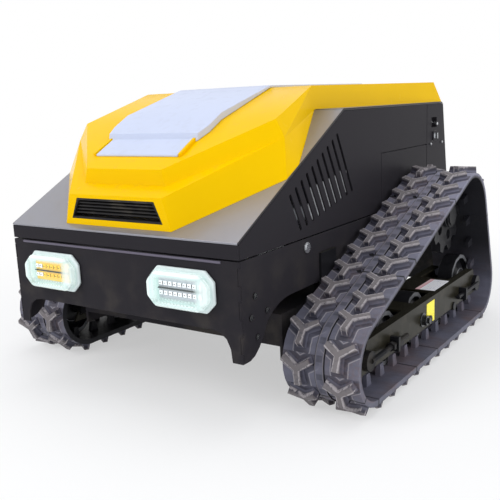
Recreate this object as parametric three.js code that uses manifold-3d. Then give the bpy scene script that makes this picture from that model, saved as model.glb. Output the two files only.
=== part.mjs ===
// Tracked slope mower, steered by radio: a steel hull with a tilting cover, a lifting cutter deck
// and two rubber tracks. Millimetres, +Z up, the front faces -Y. While it is built, y = 0 is the
// front face of the hull and z = 0 is the ground.
import * as THREE from 'three';
import { mergeVertices } from 'three/addons/utils/BufferGeometryUtils.js';
import Module from 'manifold-3d';

const wasm = await Module();
wasm.setup();

// Driving sizes of the hull
const hullHalfWidth = 340;
const sheet = 4;
const seamHeight = 364;
const seamGap = 3;
const fitGap = 0.3;
const cutOverrun = 20;
const earDrop = 214;
const earWidth = 27;
const bumperDrop = 150;
const bumperInset = 76;
const floorDrop = 112;
const skirtOverlap = 2;
const earBottom = seamHeight - earDrop;
const earInnerHalf = hullHalfWidth - earWidth;
const bumperBottom = seamHeight - bumperDrop;
const bumperHalfWidth = hullHalfWidth - bumperInset;
const floorHeight = seamHeight - floorDrop;
const sideSkirtBottom = floorHeight - skirtOverlap;
const rearSeamY = 1184;
const rearLeanDepth = 49;
const rearTopY = rearSeamY - rearLeanDepth;
const pillarDepth = 185;
const pillarStartY = rearSeamY - pillarDepth;

// Driving sizes of the cover
const lipHeight = 35;
const slopeEndY = 455;
const coverRise = 276;
const hoodTopRise = 61;
const topHeight = seamHeight + coverRise;
const hoodTopHeight = topHeight + hoodTopRise;
const hoodWall = 6;
const accessSetback = 516;
const accessStartY = rearSeamY - accessSetback;
const accessHeight = 153;
const accessTopHeight = seamHeight + accessHeight;
const coverGap = 2;

// Driving sizes of the tracks
const trackGap = 8;
const trackInnerX = hullHalfWidth + trackGap;
const trackWidth = 180;
const lugHeight = 17;
const carcassThickness = 13;
const guideLugHeight = 28;
const guideLugOffset = 26;
const guideLugWidth = 15;
const linkCount = 31;
const idlerPitchRadius = 89.5;
const sprocketPitchRadius = 114.6;
const frontIdlerY = 228;
const rearIdlerInset = 223;
const rearIdlerY = rearSeamY - rearIdlerInset;
const sprocketInset = 323;
const sprocketY = rearSeamY - sprocketInset;
const sprocketDrop = 36;
const sprocketHeight = seamHeight - sprocketDrop;
const wheelHalfWidth = 21;
const runningGap = 1;
const axleRadius = 12;
const axleGap = 0.4;

// Driving sizes of the cutter deck
const spindleY = 464;
const deckSideGap = 24;
const cutterSideGap = 52;
const cutterEndGap = 14;
const deckHalfWidth = hullHalfWidth - deckSideGap;
const cutterRadius = deckHalfWidth - cutterSideGap;
const deckFrontY = spindleY - cutterRadius - cutterEndGap;
const deckRearY = spindleY + cutterRadius + cutterEndGap;
const deckDrop = 50;
const deckTopHeight = floorHeight - deckDrop;
const deckSheet = 4;
const frontSkirtDepth = 76;
const sideSkirtDepth = 107;
const cutterDrop = 98;
const frontSkirtBottom = deckTopHeight - frontSkirtDepth;
const sideDeckBottom = deckTopHeight - sideSkirtDepth;
const cutterHeight = deckTopHeight - cutterDrop;

const arcSteps = 4;
const slotSteps = 2;
const smallSides = 8;
const midSides = 12;
const wideSides = 18;
const weldDistance = 0.001;

const steelBlack = { color: 0x2c2b2e, roughness: 0.5, metalness: 0.5 };
const steelGrey = { color: 0xaeb0b8, roughness: 0.42, metalness: 0.6 };
const frameOlive = { color: 0x454238, roughness: 0.45, metalness: 0.5 };
const hoodYellow = { color: 0xf8c807, roughness: 0.32, metalness: 0 };
const panelWhite = { color: 0xdce2f2, roughness: 0.4, metalness: 0 };
const plasticBlack = { color: 0x17171a, roughness: 0.6, metalness: 0 };
const rubberBlack = { color: 0x3f3f48, roughness: 0.8, metalness: 0 };
const lensClear = { color: 0xe8f4f2, roughness: 0.15, metalness: 0 };
const castGrey = { color: 0x86868a, roughness: 0.55, metalness: 0.7 };
const brightSteel = { color: 0xc4c6ca, roughness: 0.3, metalness: 0.9 };
const batteryBlue = { color: 0x23303f, roughness: 0.6, metalness: 0 };

const X = new THREE.Vector3(1, 0, 0);
const Y = new THREE.Vector3(0, 1, 0);
const Z = new THREE.Vector3(0, 0, 1);
const outlineTurns = {
  x: new THREE.Matrix4().makeBasis(Y, Z, X),
  y: new THREE.Matrix4().makeBasis(X, Z, Y.clone().negate()),
  z: new THREE.Matrix4(),
};

// Closed three.js geometry to a solid that can be joined and cut
function solidOf(geometry) {
  const bare = geometry.index ? geometry.toNonIndexed() : geometry.clone();
  bare.deleteAttribute('normal');
  bare.deleteAttribute('uv');
  const merged = mergeVertices(bare, weldDistance);
  const places = Float32Array.from(merged.attributes.position.array);
  const triangles = Uint32Array.from(merged.index.array);
  if (signedVolume(places, triangles) < 0) {
    for (let i = 0; i < triangles.length; i += 3) {
      [triangles[i], triangles[i + 1]] = [triangles[i + 1], triangles[i]];
    }
  }
  return new wasm.Manifold(new wasm.Mesh({ numProp: 3, vertProperties: places, triVerts: triangles }));
}

function signedVolume(places, triangles) {
  const corner = (n) => new THREE.Vector3().fromArray(places, triangles[n] * 3);
  let sum = 0;
  for (let i = 0; i < triangles.length; i += 3) {
    sum += corner(i).dot(corner(i + 1).cross(corner(i + 2)));
  }
  return sum;
}

function part(name, solid, look) {
  const { vertProperties, triVerts } = solid.getMesh();
  const geometry = new THREE.BufferGeometry();
  geometry.setAttribute('position', new THREE.BufferAttribute(Float32Array.from(vertProperties), 3));
  geometry.setIndex(new THREE.BufferAttribute(Uint32Array.from(triVerts), 1));
  geometry.computeVertexNormals();
  const mesh = new THREE.Mesh(geometry, new THREE.MeshStandardMaterial(look));
  mesh.name = name;
  return mesh;
}

const joined = (solids) => solids.reduce((whole, piece) => whole.add(piece));
const cut = (solid, tools) => tools.reduce((rest, tool) => rest.subtract(tool), solid);
const mirrored = (solid) => solid.mirror([1, 0, 0]);
const outline = (points) => new THREE.Shape(points.map(([u, v]) => new THREE.Vector2(u, v)));
const both = (halfWidth) => [-halfWidth, halfWidth];

// Outline drawn across an axis: (y, z) along x, (x, z) along y, (x, y) along z
function extrude(shape, axis, [from, to], curveSegments = arcSteps) {
  const settings = { depth: to - from, bevelEnabled: false, curveSegments };
  const geometry = new THREE.ExtrudeGeometry(shape, settings);
  geometry.applyMatrix4(outlineTurns[axis]);
  const start = axis === 'y' ? to : from;
  geometry.translate(axis === 'x' ? start : 0, axis === 'y' ? start : 0, axis === 'z' ? start : 0);
  return solidOf(geometry);
}

function block([x0, x1], [y0, y1], [z0, z1]) {
  const geometry = new THREE.BoxGeometry(x1 - x0, y1 - y0, z1 - z0);
  geometry.translate((x0 + x1) / 2, (y0 + y1) / 2, (z0 + z1) / 2);
  return solidOf(geometry);
}

// Revolved profile of [radius, place along the axis] points, closed on itself or on the axis
function revolve(profile, axis, centre, sides) {
  const points = profile.map(([radius, along]) => new THREE.Vector2(radius, along));
  const geometry = new THREE.LatheGeometry(points, sides);
  if (axis === 'x') geometry.rotateZ(-Math.PI / 2);
  if (axis === 'z') geometry.rotateX(Math.PI / 2);
  geometry.translate(...centre);
  return solidOf(geometry);
}

// Radius of a faceted bore whose flats still clear a round shaft
const boreRadius = (shaftRadius, sides = midSides) => (shaftRadius + axleGap) / Math.cos(Math.PI / sides);

function rod(radius, axis, [from, to], centre, sides = midSides) {
  return revolve([[0, from], [radius, from], [radius, to], [0, to]], axis, centre, sides);
}

function rounded(width, height, corner) {
  const shape = new THREE.Shape();
  const [w, h] = [width / 2, height / 2];
  shape.moveTo(-w + corner, -h);
  shape.lineTo(w - corner, -h);
  shape.quadraticCurveTo(w, -h, w, -h + corner);
  shape.lineTo(w, h - corner);
  shape.quadraticCurveTo(w, h, w - corner, h);
  shape.lineTo(-w + corner, h);
  shape.quadraticCurveTo(-w, h, -w, h - corner);
  shape.lineTo(-w, -h + corner);
  shape.quadraticCurveTo(-w, -h, -w + corner, -h);
  return shape;
}

// Chamfered outline, as of a lamp: a rectangle with its four corners cut
function chamfered(width, height, chamfer) {
  const [w, h] = [width / 2, height / 2];
  return outline([
    [-w + chamfer, -h], [w - chamfer, -h], [w, -h + chamfer], [w, h - chamfer],
    [w - chamfer, h], [-w + chamfer, h], [-w, h - chamfer], [-w, -h + chamfer],
  ]);
}

// The height of the cover's outer face at a place along the hull
const slopeStart = seamHeight + lipHeight;
const slopeRate = (topHeight - slopeStart) / slopeEndY;
const coverHeight = (y) => slopeStart + slopeRate * Math.min(y, slopeEndY);
const rearLean = (rearSeamY - rearTopY) / (topHeight - seamHeight);
const rearFace = (z) => rearSeamY - rearLean * Math.max(z - seamHeight, 0);

const rearInnerGap = sheet + fitGap;
const hullTop = seamHeight - seamGap;
const coverUnderside = topHeight - sheet - fitGap;

// Tabs of the side plates pass through notches in the ends of the front plate
const tabDrops = [174, 102, 34];
const tabHeights = tabDrops.map((drop) => seamHeight - drop);
const tabLength = 36;
const tabSpans = tabHeights.map((z) => [z - tabLength / 2, z + tabLength / 2]);

function frontPlate() {
  const shape = new THREE.Shape();
  shape.moveTo(-hullHalfWidth, hullTop);
  shape.lineTo(-hullHalfWidth, earBottom);
  shape.lineTo(-earInnerHalf, earBottom);
  shape.quadraticCurveTo(-earInnerHalf, bumperBottom, -bumperHalfWidth, bumperBottom);
  shape.lineTo(bumperHalfWidth, bumperBottom);
  shape.quadraticCurveTo(earInnerHalf, bumperBottom, earInnerHalf, earBottom);
  shape.lineTo(hullHalfWidth, earBottom);
  shape.lineTo(hullHalfWidth, hullTop);
  const plate = extrude(shape, 'y', [0, sheet]);
  const notches = tabSpans.flatMap(([low, high]) => {
    const span = [low - fitGap, high + fitGap];
    const right = [hullHalfWidth - sheet - fitGap, hullHalfWidth + cutOverrun];
    const notch = block(right, [-cutOverrun, sheet + cutOverrun], span);
    return [notch, mirrored(notch)];
  });
  const flange = block(both(hullHalfWidth - sheet - coverGap), [0, flangeDepth],
    [hullTop - sheet, hullTop]);
  const lampHoles = [-lampCentreX, lampCentreX].map((x) =>
    rod(lampCableRadius, 'y', [-cutOverrun, cutOverrun], [x, 0, lampCentreHeight]));
  return cut(plate.add(flange), [...notches, ...lampHoles]);
}

const flangeDepth = 26;
const lampCableRadius = 9;
const lampInset = 144;
const lampDrop = 71;
const lampCentreX = hullHalfWidth - lampInset;
const lampCentreHeight = seamHeight - lampDrop;

// Arch behind the front corner, which leaves an ear that points down
const archFootY = 26;
const archMiddleY = 96;
const archDrop = 144;
const archMiddleHeight = seamHeight - archDrop;
const archEndY = 186;
const motorHoleRadius = 28;

function sidePlate() {
  const inner = sheet + fitGap;
  const rear = rearSeamY - rearInnerGap;
  const shape = new THREE.Shape();
  shape.moveTo(inner, hullTop);
  shape.lineTo(inner, earBottom);
  shape.lineTo(archFootY, earBottom);
  shape.quadraticCurveTo((archFootY + archMiddleY) / 2, earBottom + sheet, archMiddleY, archMiddleHeight);
  shape.quadraticCurveTo((archMiddleY + archEndY) / 2, sideSkirtBottom, archEndY, sideSkirtBottom);
  shape.lineTo(rear, sideSkirtBottom);
  shape.lineTo(rear, hullTop);
  const wall = [hullHalfWidth - sheet, hullHalfWidth];
  const plate = extrude(shape, 'x', wall);
  const tabs = tabSpans.map((span) => block(wall, [0, inner + sheet], span));
  const motorHole = rod(motorHoleRadius, 'x', both(cutOverrun),
    [hullHalfWidth, sprocketY, sprocketHeight], wideSides);
  return cut(joined([plate, ...tabs]), [motorHole]);
}

// The floor plate carries the deck's two lift posts and has the opening for the engine
const openingInset = 150;
const engineOpening = { halfWidth: hullHalfWidth - openingInset, frontY: 268, rearY: 668 };
const liftPostInset = 54;
const liftPostX = deckHalfWidth - liftPostInset;
const liftPostRadius = 10;
const liftPostLength = 66;
const floorFrontY = 190;

function floorPlate() {
  const halfWidth = hullHalfWidth - sheet - fitGap;
  const rear = rearSeamY - rearInnerGap;
  const plate = block(both(halfWidth), [floorFrontY, rear], [floorHeight, floorHeight + sheet]);
  const { halfWidth: w, frontY, rearY } = engineOpening;
  const cutOut = block(both(w), [frontY, rearY], both(cutOverrun).map((z) => z + floorHeight));
  const lip = block(both(halfWidth), [floorFrontY, floorFrontY + sheet],
    [floorHeight, floorHeight + flangeDepth]);
  const posts = [-liftPostX, liftPostX].map((x) =>
    rod(liftPostRadius, 'z', [floorHeight - liftPostLength, floorHeight + sheet], [x, spindleY, 0]));
  const rodHole = rod(boreRadius(actuator.rodRadius), 'z',
    [floorHeight - cutOverrun, floorHeight + cutOverrun],
    [actuator.x, actuator.y, 0]);
  return joined([cut(plate.add(lip), [cutOut, rodHole]), ...posts]);
}

// Bent rear plate: upright below the seam, leaning forward above it, with cooling slots
const rearSlot = { count: 9, pitch: 34, width: 12, foot: 66, height: 115 };

function rearPlate() {
  const halfWidth = hullHalfWidth;
  const low = sideSkirtBottom;
  const shape = outline([
    [rearSeamY - sheet, low], [rearSeamY, low], [rearSeamY, seamHeight],
    [rearFace(coverUnderside), coverUnderside], [rearFace(coverUnderside) - sheet, coverUnderside],
    [rearSeamY - sheet, seamHeight],
  ]);
  const plate = extrude(shape, 'x', both(halfWidth));
  const firstX = -rearSlot.pitch * (rearSlot.count - 1) / 2;
  const slotFoot = seamHeight + rearSlot.foot;
  const slots = Array.from({ length: rearSlot.count }, (_, i) => {
    const x = firstX + i * rearSlot.pitch;
    const across = [x - rearSlot.width / 2, x + rearSlot.width / 2];
    return block(across, [rearTopY - cutOverrun, rearSeamY + cutOverrun],
      [slotFoot, slotFoot + rearSlot.height]);
  });
  return cut(plate, slots);
}

// Rear corner pillar: outer sheet with a front return and a foot, so it stands on the floor
const pillarReturn = 24;
const switchInset = 126;
const switchY = rearSeamY - switchInset;
const toggleDrop = 59;
const keyDrop = 100;
const toggleHeight = topHeight - toggleDrop;
const keyHeight = topHeight - keyDrop;
const switchRecess = { width: 44, height: 30 };
const switchBoxDepth = 26;
const keyRadius = 9;
const toggleRadius = 4;

function pillar(hasSwitches) {
  const wall = [hullHalfWidth - sheet, hullHalfWidth];
  const returned = [hullHalfWidth - pillarReturn, hullHalfWidth];
  const low = seamHeight + fitGap;
  const skin = (z) => rearFace(z) - rearInnerGap;
  const shape = outline([
    [pillarStartY, low], [skin(low), low], [skin(coverUnderside), coverUnderside],
    [pillarStartY, coverUnderside],
  ]);
  const front = block(returned, [pillarStartY, pillarStartY + sheet], [low, coverUnderside]);
  const legX = [hullHalfWidth - 2 * sheet - fitGap, hullHalfWidth - sheet - fitGap];
  const leg = block(legX, [pillarStartY, pillarStartY + pillarReturn],
    [floorHeight + sheet + fitGap, low + sheet]);
  const body = joined([extrude(shape, 'x', wall), front, leg]);
  if (!hasSwitches) return body;
  const boxX = [hullHalfWidth - switchBoxDepth, hullHalfWidth - sheet / 2];
  const boxY = [switchY - switchRecess.width / 2 - sheet, switchY + switchRecess.width / 2 + sheet];
  const boxZ = [keyHeight - switchRecess.height, toggleHeight + switchRecess.height];
  const recess = block(
    [hullHalfWidth - switchBoxDepth / 2, hullHalfWidth + cutOverrun],
    [switchY - switchRecess.width / 2, switchY + switchRecess.width / 2],
    [toggleHeight - switchRecess.height / 2, toggleHeight + switchRecess.height / 2],
  );
  const bezel = extrude(rounded(bezelSize, bezelSize, bezelSize / 4), 'x',
    [hullHalfWidth - sheet, hullHalfWidth + bezelRise])
    .translate([0, switchY, keyHeight]);
  const keyHole = rod(boreRadius(keyRadius), 'x', [-keyDepth - fitGap, cutOverrun],
    [hullHalfWidth, switchY, keyHeight]);
  const pivot = rod(boreRadius(toggleRadius, smallSides), 'y', both(toggleRadius),
    [toggleX, switchY, toggleHeight], smallSides);
  return cut(joined([body, block(boxX, boxY, boxZ), bezel]), [recess, keyHole, pivot]);
}

const bezelSize = 30;
const bezelRise = 3;
const keyDepth = 14;
const keyBowLength = 12;
const keyBowWidth = 5;
const toggleX = hullHalfWidth - 9;
const toggleLength = 20;
const toggleTip = 5;
const toggleTilt = THREE.MathUtils.degToRad(-14);

function keyBarrel() {
  const centre = [hullHalfWidth, switchY, keyHeight];
  const barrel = rod(keyRadius, 'x', [-keyDepth, bezelRise + fitGap], centre);
  const bow = block([hullHalfWidth, hullHalfWidth + keyBowLength],
    [switchY - keyBowWidth / 2, switchY + keyBowWidth / 2],
    [keyHeight - keyRadius + fitGap, keyHeight + keyRadius - fitGap]);
  return barrel.add(bow);
}

function toggleLever() {
  const ball = rod(toggleRadius - fitGap, 'y', both(toggleRadius - fitGap), [0, 0, 0], smallSides);
  const profile = [
    [0, 0], [toggleRadius / 2, 0], [toggleTip, toggleLength], [0, toggleLength + toggleTip / 2],
  ];
  const lever = revolve(profile, 'x', [0, 0, 0], smallSides);
  const degrees = THREE.MathUtils.radToDeg(-toggleTilt);
  return ball.add(lever).rotate([0, degrees, 0]).translate([toggleX, switchY, toggleHeight]);
}

// Lamps: a flange on the front plate and a domed lens in front of it
const lampWidth = 172;
const lampHeight = 90;
const lampChamfer = 22;
const lampFlangeDepth = 9;
const lensInset = 6;
const lensDepth = 23;
const lensTaper = 8;

function lampBase() {
  const cable = rod(lampCableRadius - axleGap, 'y', [-2 * fitGap, flangeDepth], [0, 0, 0]);
  const flange = extrude(chamfered(lampWidth, lampHeight, lampChamfer), 'y', [-lampFlangeDepth, -fitGap]);
  return flange.add(cable).translate([lampCentreX, 0, lampCentreHeight]);
}

function lampLens() {
  const width = lampWidth - 2 * lensInset;
  const height = lampHeight - 2 * lensInset;
  const settings = {
    depth: lensDepth - lensTaper, bevelEnabled: true, bevelSize: lensTaper, bevelThickness: lensTaper,
    bevelOffset: -lensTaper, bevelSegments: 2, curveSegments: arcSteps,
  };
  const geometry = new THREE.ExtrudeGeometry(chamfered(width, height, lampChamfer), settings);
  geometry.applyMatrix4(outlineTurns.y);
  geometry.translate(lampCentreX, -lampFlangeDepth, lampCentreHeight);
  const dome = solidOf(geometry);
  const behind = -lampFlangeDepth - fitGap;
  return cut(dome, [block([0, hullHalfWidth], [behind, cutOverrun], [0, hullTop])]);
}

// Cover: louvred side walls, a front lip, a sloped top sheet, a moulded hood and a centre panel
const louvre = {
  count: 10, width: 9, firstTop: [198, 104], topStep: [24.4, 12.9], firstFoot: [242, 20],
  footStep: [28.1, 6],
};

function louvreSlot(i) {
  const top = new THREE.Vector2(louvre.firstTop[0] + i * louvre.topStep[0],
    seamHeight + louvre.firstTop[1] + i * louvre.topStep[1]);
  const foot = new THREE.Vector2(louvre.firstFoot[0] + i * louvre.footStep[0],
    seamHeight + louvre.firstFoot[1] + i * louvre.footStep[1]);
  const along = top.clone().sub(foot);
  const slot = extrude(rounded(along.length(), louvre.width, louvre.width / 2), 'x', both(cutOverrun),
    slotSteps);
  const middle = top.add(foot).multiplyScalar(0.5);
  const degrees = THREE.MathUtils.radToDeg(along.angle());
  return slot.rotate([degrees, 0, 0]).translate([hullHalfWidth, middle.x, middle.y]);
}

function coverSide() {
  const inner = sheet + fitGap;
  const under = sheet * Math.hypot(1, slopeRate) + fitGap;
  const bottom = seamHeight;
  const rear = pillarStartY - coverGap;
  const shape = outline([
    [inner, bottom], [accessStartY - coverGap, bottom],
    [accessStartY - coverGap, accessTopHeight + coverGap],
    [rear, accessTopHeight + coverGap], [rear, coverUnderside],
    [slopeEndY + sheet / 2, coverUnderside], [inner, coverHeight(inner) - under],
  ]);
  const wall = extrude(shape, 'x', [hullHalfWidth - sheet, hullHalfWidth]);
  const backX = [hullHalfWidth - 2 * sheet - fitGap, hullHalfWidth - sheet];
  const upright = block(backX, [accessStartY - backStrip, accessStartY + backStrip],
    [bottom, accessTopHeight + backStrip]);
  const header = block(backX, [accessStartY - backStrip, rear],
    [accessTopHeight - backStrip, accessTopHeight + backStrip]);
  const relief = block([hullHalfWidth - sheet - fitGap, hullHalfWidth + cutOverrun],
    [accessStartY - coverGap, rear + cutOverrun], [bottom - cutOverrun, accessTopHeight + coverGap]);
  const slots = Array.from({ length: louvre.count }, (_, i) => louvreSlot(i));
  return cut(joined([wall, upright, header]), [relief, ...slots]);
}

const backStrip = 16;

function accessCover() {
  return block([hullHalfWidth - sheet, hullHalfWidth],
    [accessStartY, pillarStartY - coverGap], [seamHeight, accessTopHeight]);
}

function coverLip() {
  const top = slopeStart - sheet * Math.hypot(1, slopeRate) - fitGap;
  return block(both(hullHalfWidth), [0, sheet], [seamHeight, top]);
}

const airSlot = { count: 6, pitch: 30, width: 14, frontY: 60, rearY: 170 };

function slopePanel() {
  const rear = rearTopY - sheet;
  const drop = sheet * Math.hypot(1, slopeRate);
  const shape = outline([
    [0, slopeStart - drop], [0, slopeStart], [slopeEndY, topHeight], [rear, topHeight],
    [rear, topHeight - sheet], [slopeEndY + sheet / 2, topHeight - sheet],
  ]);
  const panel = extrude(shape, 'x', both(hullHalfWidth));
  const firstX = -airSlot.pitch * (airSlot.count - 1) / 2;
  const slots = Array.from({ length: airSlot.count }, (_, i) => {
    const x = firstX + i * airSlot.pitch;
    return block([x - airSlot.width / 2, x + airSlot.width / 2], [airSlot.frontY, airSlot.rearY],
      [slopeStart, topHeight]);
  });
  return cut(panel, slots);
}

// Corners of the hood on its right half: shares of the hull's half width, of its length and of the
// hood's rise over the seam. Corners on the cover's face take their height from that face.
const hoodCornerShares = {
  baseFront: [0.47, 0.012], baseWide: [0.99, 0.163], baseTurn: [0.994, 0.206],
  baseNeck: [0.765, slopeEndY / rearSeamY], baseShoulder: [0.994, slopeEndY / rearSeamY],
  baseRear: [0.994, 0.951],
  ledgeFront: [0.412, 0.011, 0.335], ledgeEnd: [0.93, 0.188, 0.665], stepFront: [0.362, 0.041, 0.398],
  topFront: [0.33, 0.041, 0.499], topWide: [0.86, 0.193, 0.783], topNeck: [0.774, 0.371, 0.991],
  topRear: [0.941, 0.933, 1],
};
const hoodRise = hoodTopHeight - seamHeight;

function hoodCorners() {
  const corners = {};
  for (const [name, [xShare, yShare, zShare]] of Object.entries(hoodCornerShares)) {
    const y = yShare * rearSeamY;
    const z = zShare === undefined ? coverHeight(y) + fitGap : seamHeight + zShare * hoodRise;
    corners[name] = [xShare * hullHalfWidth, y, z];
  }
  return corners;
}

// Faces of the hood: those across the middle name their right corners from the left face's end to
// the right one's, those on the right side are mirrored for the left
const hoodMiddleFaces = [
  ['baseFront', 'ledgeFront'], ['ledgeFront', 'stepFront'], ['stepFront', 'topFront'],
  ['topFront', 'topWide'],
  ['topWide', 'topNeck'], ['topNeck', 'topRear'], ['topRear', 'baseRear'], ['baseRear', 'baseShoulder'],
  ['baseNeck', 'baseTurn'], ['baseTurn', 'baseWide'], ['baseWide', 'baseFront'],
];
const hoodSideFaces = [
  ['baseFront', 'baseWide', 'ledgeEnd', 'ledgeFront'], ['baseWide', 'baseTurn', 'ledgeEnd'],
  ['ledgeFront', 'ledgeEnd', 'stepFront'], ['stepFront', 'ledgeEnd', 'topWide', 'topFront'],
  ['ledgeEnd', 'baseTurn', 'baseNeck', 'topNeck', 'topWide'],
  ['baseNeck', 'baseShoulder', 'baseRear', 'topRear', 'topNeck'],
];

function hoodForm(place) {
  const corners = hoodCorners();
  const triangles = [];
  const right = (name) => place(corners[name]);
  const left = (name) => place([-corners[name][0], corners[name][1], corners[name][2]]);
  const fan = (points) => {
    for (let i = 1; i + 1 < points.length; i += 1) triangles.push(...points[0], ...points[i],
      ...points[i + 1]);
  };
  for (const [from, to] of hoodMiddleFaces) {
    if (from === 'baseRear') {
      fan([left('baseRear'), right('baseRear'), right('baseShoulder'), right('baseNeck')]);
      fan([left('baseRear'), right('baseNeck'), left('baseNeck'), left('baseShoulder')]);
    } else {
      fan([left(from), right(from), right(to), left(to)]);
    }
  }
  for (const names of hoodSideFaces) {
    fan(names.map(right));
    fan(names.map(left).reverse());
  }
  const geometry = new THREE.BufferGeometry();
  geometry.setAttribute('position', new THREE.Float32BufferAttribute(triangles, 3));
  return solidOf(geometry);
}

const grille = {
  lowHalfShare: 0.406, highHalfShare: 0.344, lowShare: 0.2, highShare: 0.88, frame: 5,
  bladeCount: 5, depth: 18,
  blade: 3,
};

function grilleOutline(margin) {
  const { baseFront, ledgeFront } = hoodCorners();
  const low = baseFront[2] + grille.lowShare * (ledgeFront[2] - baseFront[2]);
  const high = baseFront[2] + grille.highShare * (ledgeFront[2] - baseFront[2]);
  const bottomHalf = grille.lowHalfShare * hullHalfWidth - margin;
  const topHalf = grille.highHalfShare * hullHalfWidth - margin;
  return {
    low: low + margin, high: high - margin,
    shape: outline([
      [-bottomHalf, low + margin], [bottomHalf, low + margin], [topHalf, high - margin],
      [-topHalf, high - margin],
    ]),
  };
}

function hood() {
  const middleY = rearSeamY / 2;
  const narrow = 1 - hoodWall / hullHalfWidth;
  const shorter = 1 - 2 * hoodWall / rearSeamY;
  const drop = hoodWall * Math.hypot(1, slopeRate);
  const outer = hoodForm((corner) => corner);
  const inner = hoodForm(([x, y, z]) => [x * narrow, middleY + (y - middleY) * shorter, z - drop]);
  const opening = extrude(grilleOutline(0).shape, 'y', [-cutOverrun, grille.depth + cutOverrun]);
  return cut(outer, [inner, opening]);
}

function hoodGrille() {
  const frontY = hoodCorners().baseFront[1];
  const span = [frontY - fitGap, frontY + grille.depth];
  const rim = grilleOutline(fitGap);
  const hole = grilleOutline(grille.frame);
  const frame = cut(extrude(rim.shape, 'y', span),
    [extrude(hole.shape, 'y', [-cutOverrun, grille.depth + 2 * cutOverrun])]);
  const pitch = (hole.high - hole.low) / grille.bladeCount;
  const blades = Array.from({ length: grille.bladeCount - 1 }, (_, i) => {
    const z = hole.low + (i + 1) * pitch;
    const blade = outline([
      [span[0] + sheet, z], [span[1] - sheet, z + pitch / 2],
      [span[1] - sheet, z + pitch / 2 + grille.blade],
      [span[0] + sheet, z + grille.blade],
    ]);
    return extrude(blade, 'x', both(hullHalfWidth));
  });
  const within = extrude(grilleOutline(grille.frame - fitGap).shape, 'y', span);
  return joined([frame, ...blades.map((blade) => blade.intersect(within))]);
}

// Centre panel: a thin front apron and a raised plate that runs over the slope to the flat top
const panelRearInset = 224;
const panel = {
  apronShare: 0.365, apronFrontY: 92, stepY: 148, raisedShare: 0.43,
  rearY: rearSeamY - panelRearInset, apronRise: 5, rise: 17, topRise: 6,
};

function centrePanel() {
  const { topFront, topWide, topNeck, topRear } = hoodCorners();
  const faces = [topFront, topWide, topNeck, topRear];
  const under = (y) => {
    const i = faces.findIndex((corner, n) => n > 0 && y <= corner[1]) || 1;
    const share = (y - faces[i - 1][1]) / (faces[i][1] - faces[i - 1][1]);
    return faces[i - 1][2] + share * (faces[i][2] - faces[i - 1][2]) + fitGap * Math.hypot(1, slopeRate);
  };
  const over = (y, rise) => [y, under(y) + rise];
  const { apronFrontY, stepY, rearY, apronRise, rise, topRise } = panel;
  const raisedHalf = panel.raisedShare * hullHalfWidth;
  const apron = outline([
    over(apronFrontY, 0), over(stepY + sheet, 0), over(stepY + sheet, apronRise),
    over(apronFrontY, apronRise),
  ]);
  const crestY = topNeck[1];
  const plate = outline([
    over(stepY, 0), over(topWide[1], 0), over(crestY, 0), over(rearY, 0), over(rearY, topRise),
    over(crestY, topRise), over(topWide[1], rise), over(stepY + sheet, rise),
  ]);
  const body = extrude(plate, 'x', both(raisedHalf));
  const corner = rise * 2;
  const plan = outline([
    [-raisedHalf, stepY + corner], [-raisedHalf + corner / 2, stepY - cutOverrun],
    [raisedHalf - corner / 2, stepY - cutOverrun], [raisedHalf, stepY + corner],
    [raisedHalf, rearY], [-raisedHalf, rearY],
  ]);
  return extrude(apron, 'x', both(panel.apronShare * hullHalfWidth)).add(body.intersect(extrude(plan, 'z',
    [seamHeight, 2 * hoodTopHeight])));
}

// Rear hinges of the cover: a sleeve on the cover's leaf turns on the pin of the hull's bracket
const hingeOffset = 15;
const hingeInset = 110;
const hinge = {
  y: rearTopY + hingeOffset, height: topHeight, x: hullHalfWidth - hingeInset,
  sleeveLength: 50, sleeveRadius: 8, pinRadius: 5, pinHead: 3,
  earWidth: 6, plateHeight: 40,
};

function hingeLeaf() {
  const centre = [hinge.x, hinge.y, hinge.height];
  const half = hinge.sleeveLength / 2;
  const across = [hinge.x - half, hinge.x + half];
  const sleeve = rod(hinge.sleeveRadius, 'x', both(half), centre);
  const under = topHeight - sheet;
  const strap = block(across, [rearTopY - sheet + fitGap, hinge.y], [under, topHeight]);
  const bore = rod(boreRadius(hinge.pinRadius), 'x', both(half + cutOverrun), centre);
  return cut(sleeve.add(strap), [bore]);
}

function hingeBracket() {
  const centre = [hinge.x, hinge.y, hinge.height];
  const half = hinge.sleeveLength / 2 + fitGap;
  const pin = rod(hinge.pinRadius, 'x', both(half + hinge.earWidth + hinge.pinHead), centre);
  const lowZ = hinge.height - hinge.plateHeight;
  const faceY = rearFace(lowZ) + fitGap;
  const ear = block([hinge.x + half, hinge.x + half + hinge.earWidth],
    [faceY, hinge.y + hinge.sleeveRadius],
    [lowZ, hinge.height + hinge.sleeveRadius]);
  const otherEar = ear.translate([-2 * half - hinge.earWidth, 0, 0]);
  const backHalf = half + hinge.earWidth / 2;
  const back = block([hinge.x - backHalf, hinge.x + backHalf], [faceY, faceY + sheet],
    [lowZ, hinge.height - 2 * hinge.sleeveRadius]);
  return joined([pin, ear, otherEar, back]);
}

// The belt runs counter-clockwise in the (y, z) plane round three wheels
const groundClearance = lugHeight + carcassThickness / 2;
const idlerHeight = groundClearance + idlerPitchRadius;
const beltWheels = [
  { y: frontIdlerY, z: idlerHeight, radius: idlerPitchRadius },
  { y: rearIdlerY, z: idlerHeight, radius: idlerPitchRadius },
  { y: sprocketY, z: sprocketHeight, radius: sprocketPitchRadius },
];

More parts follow.
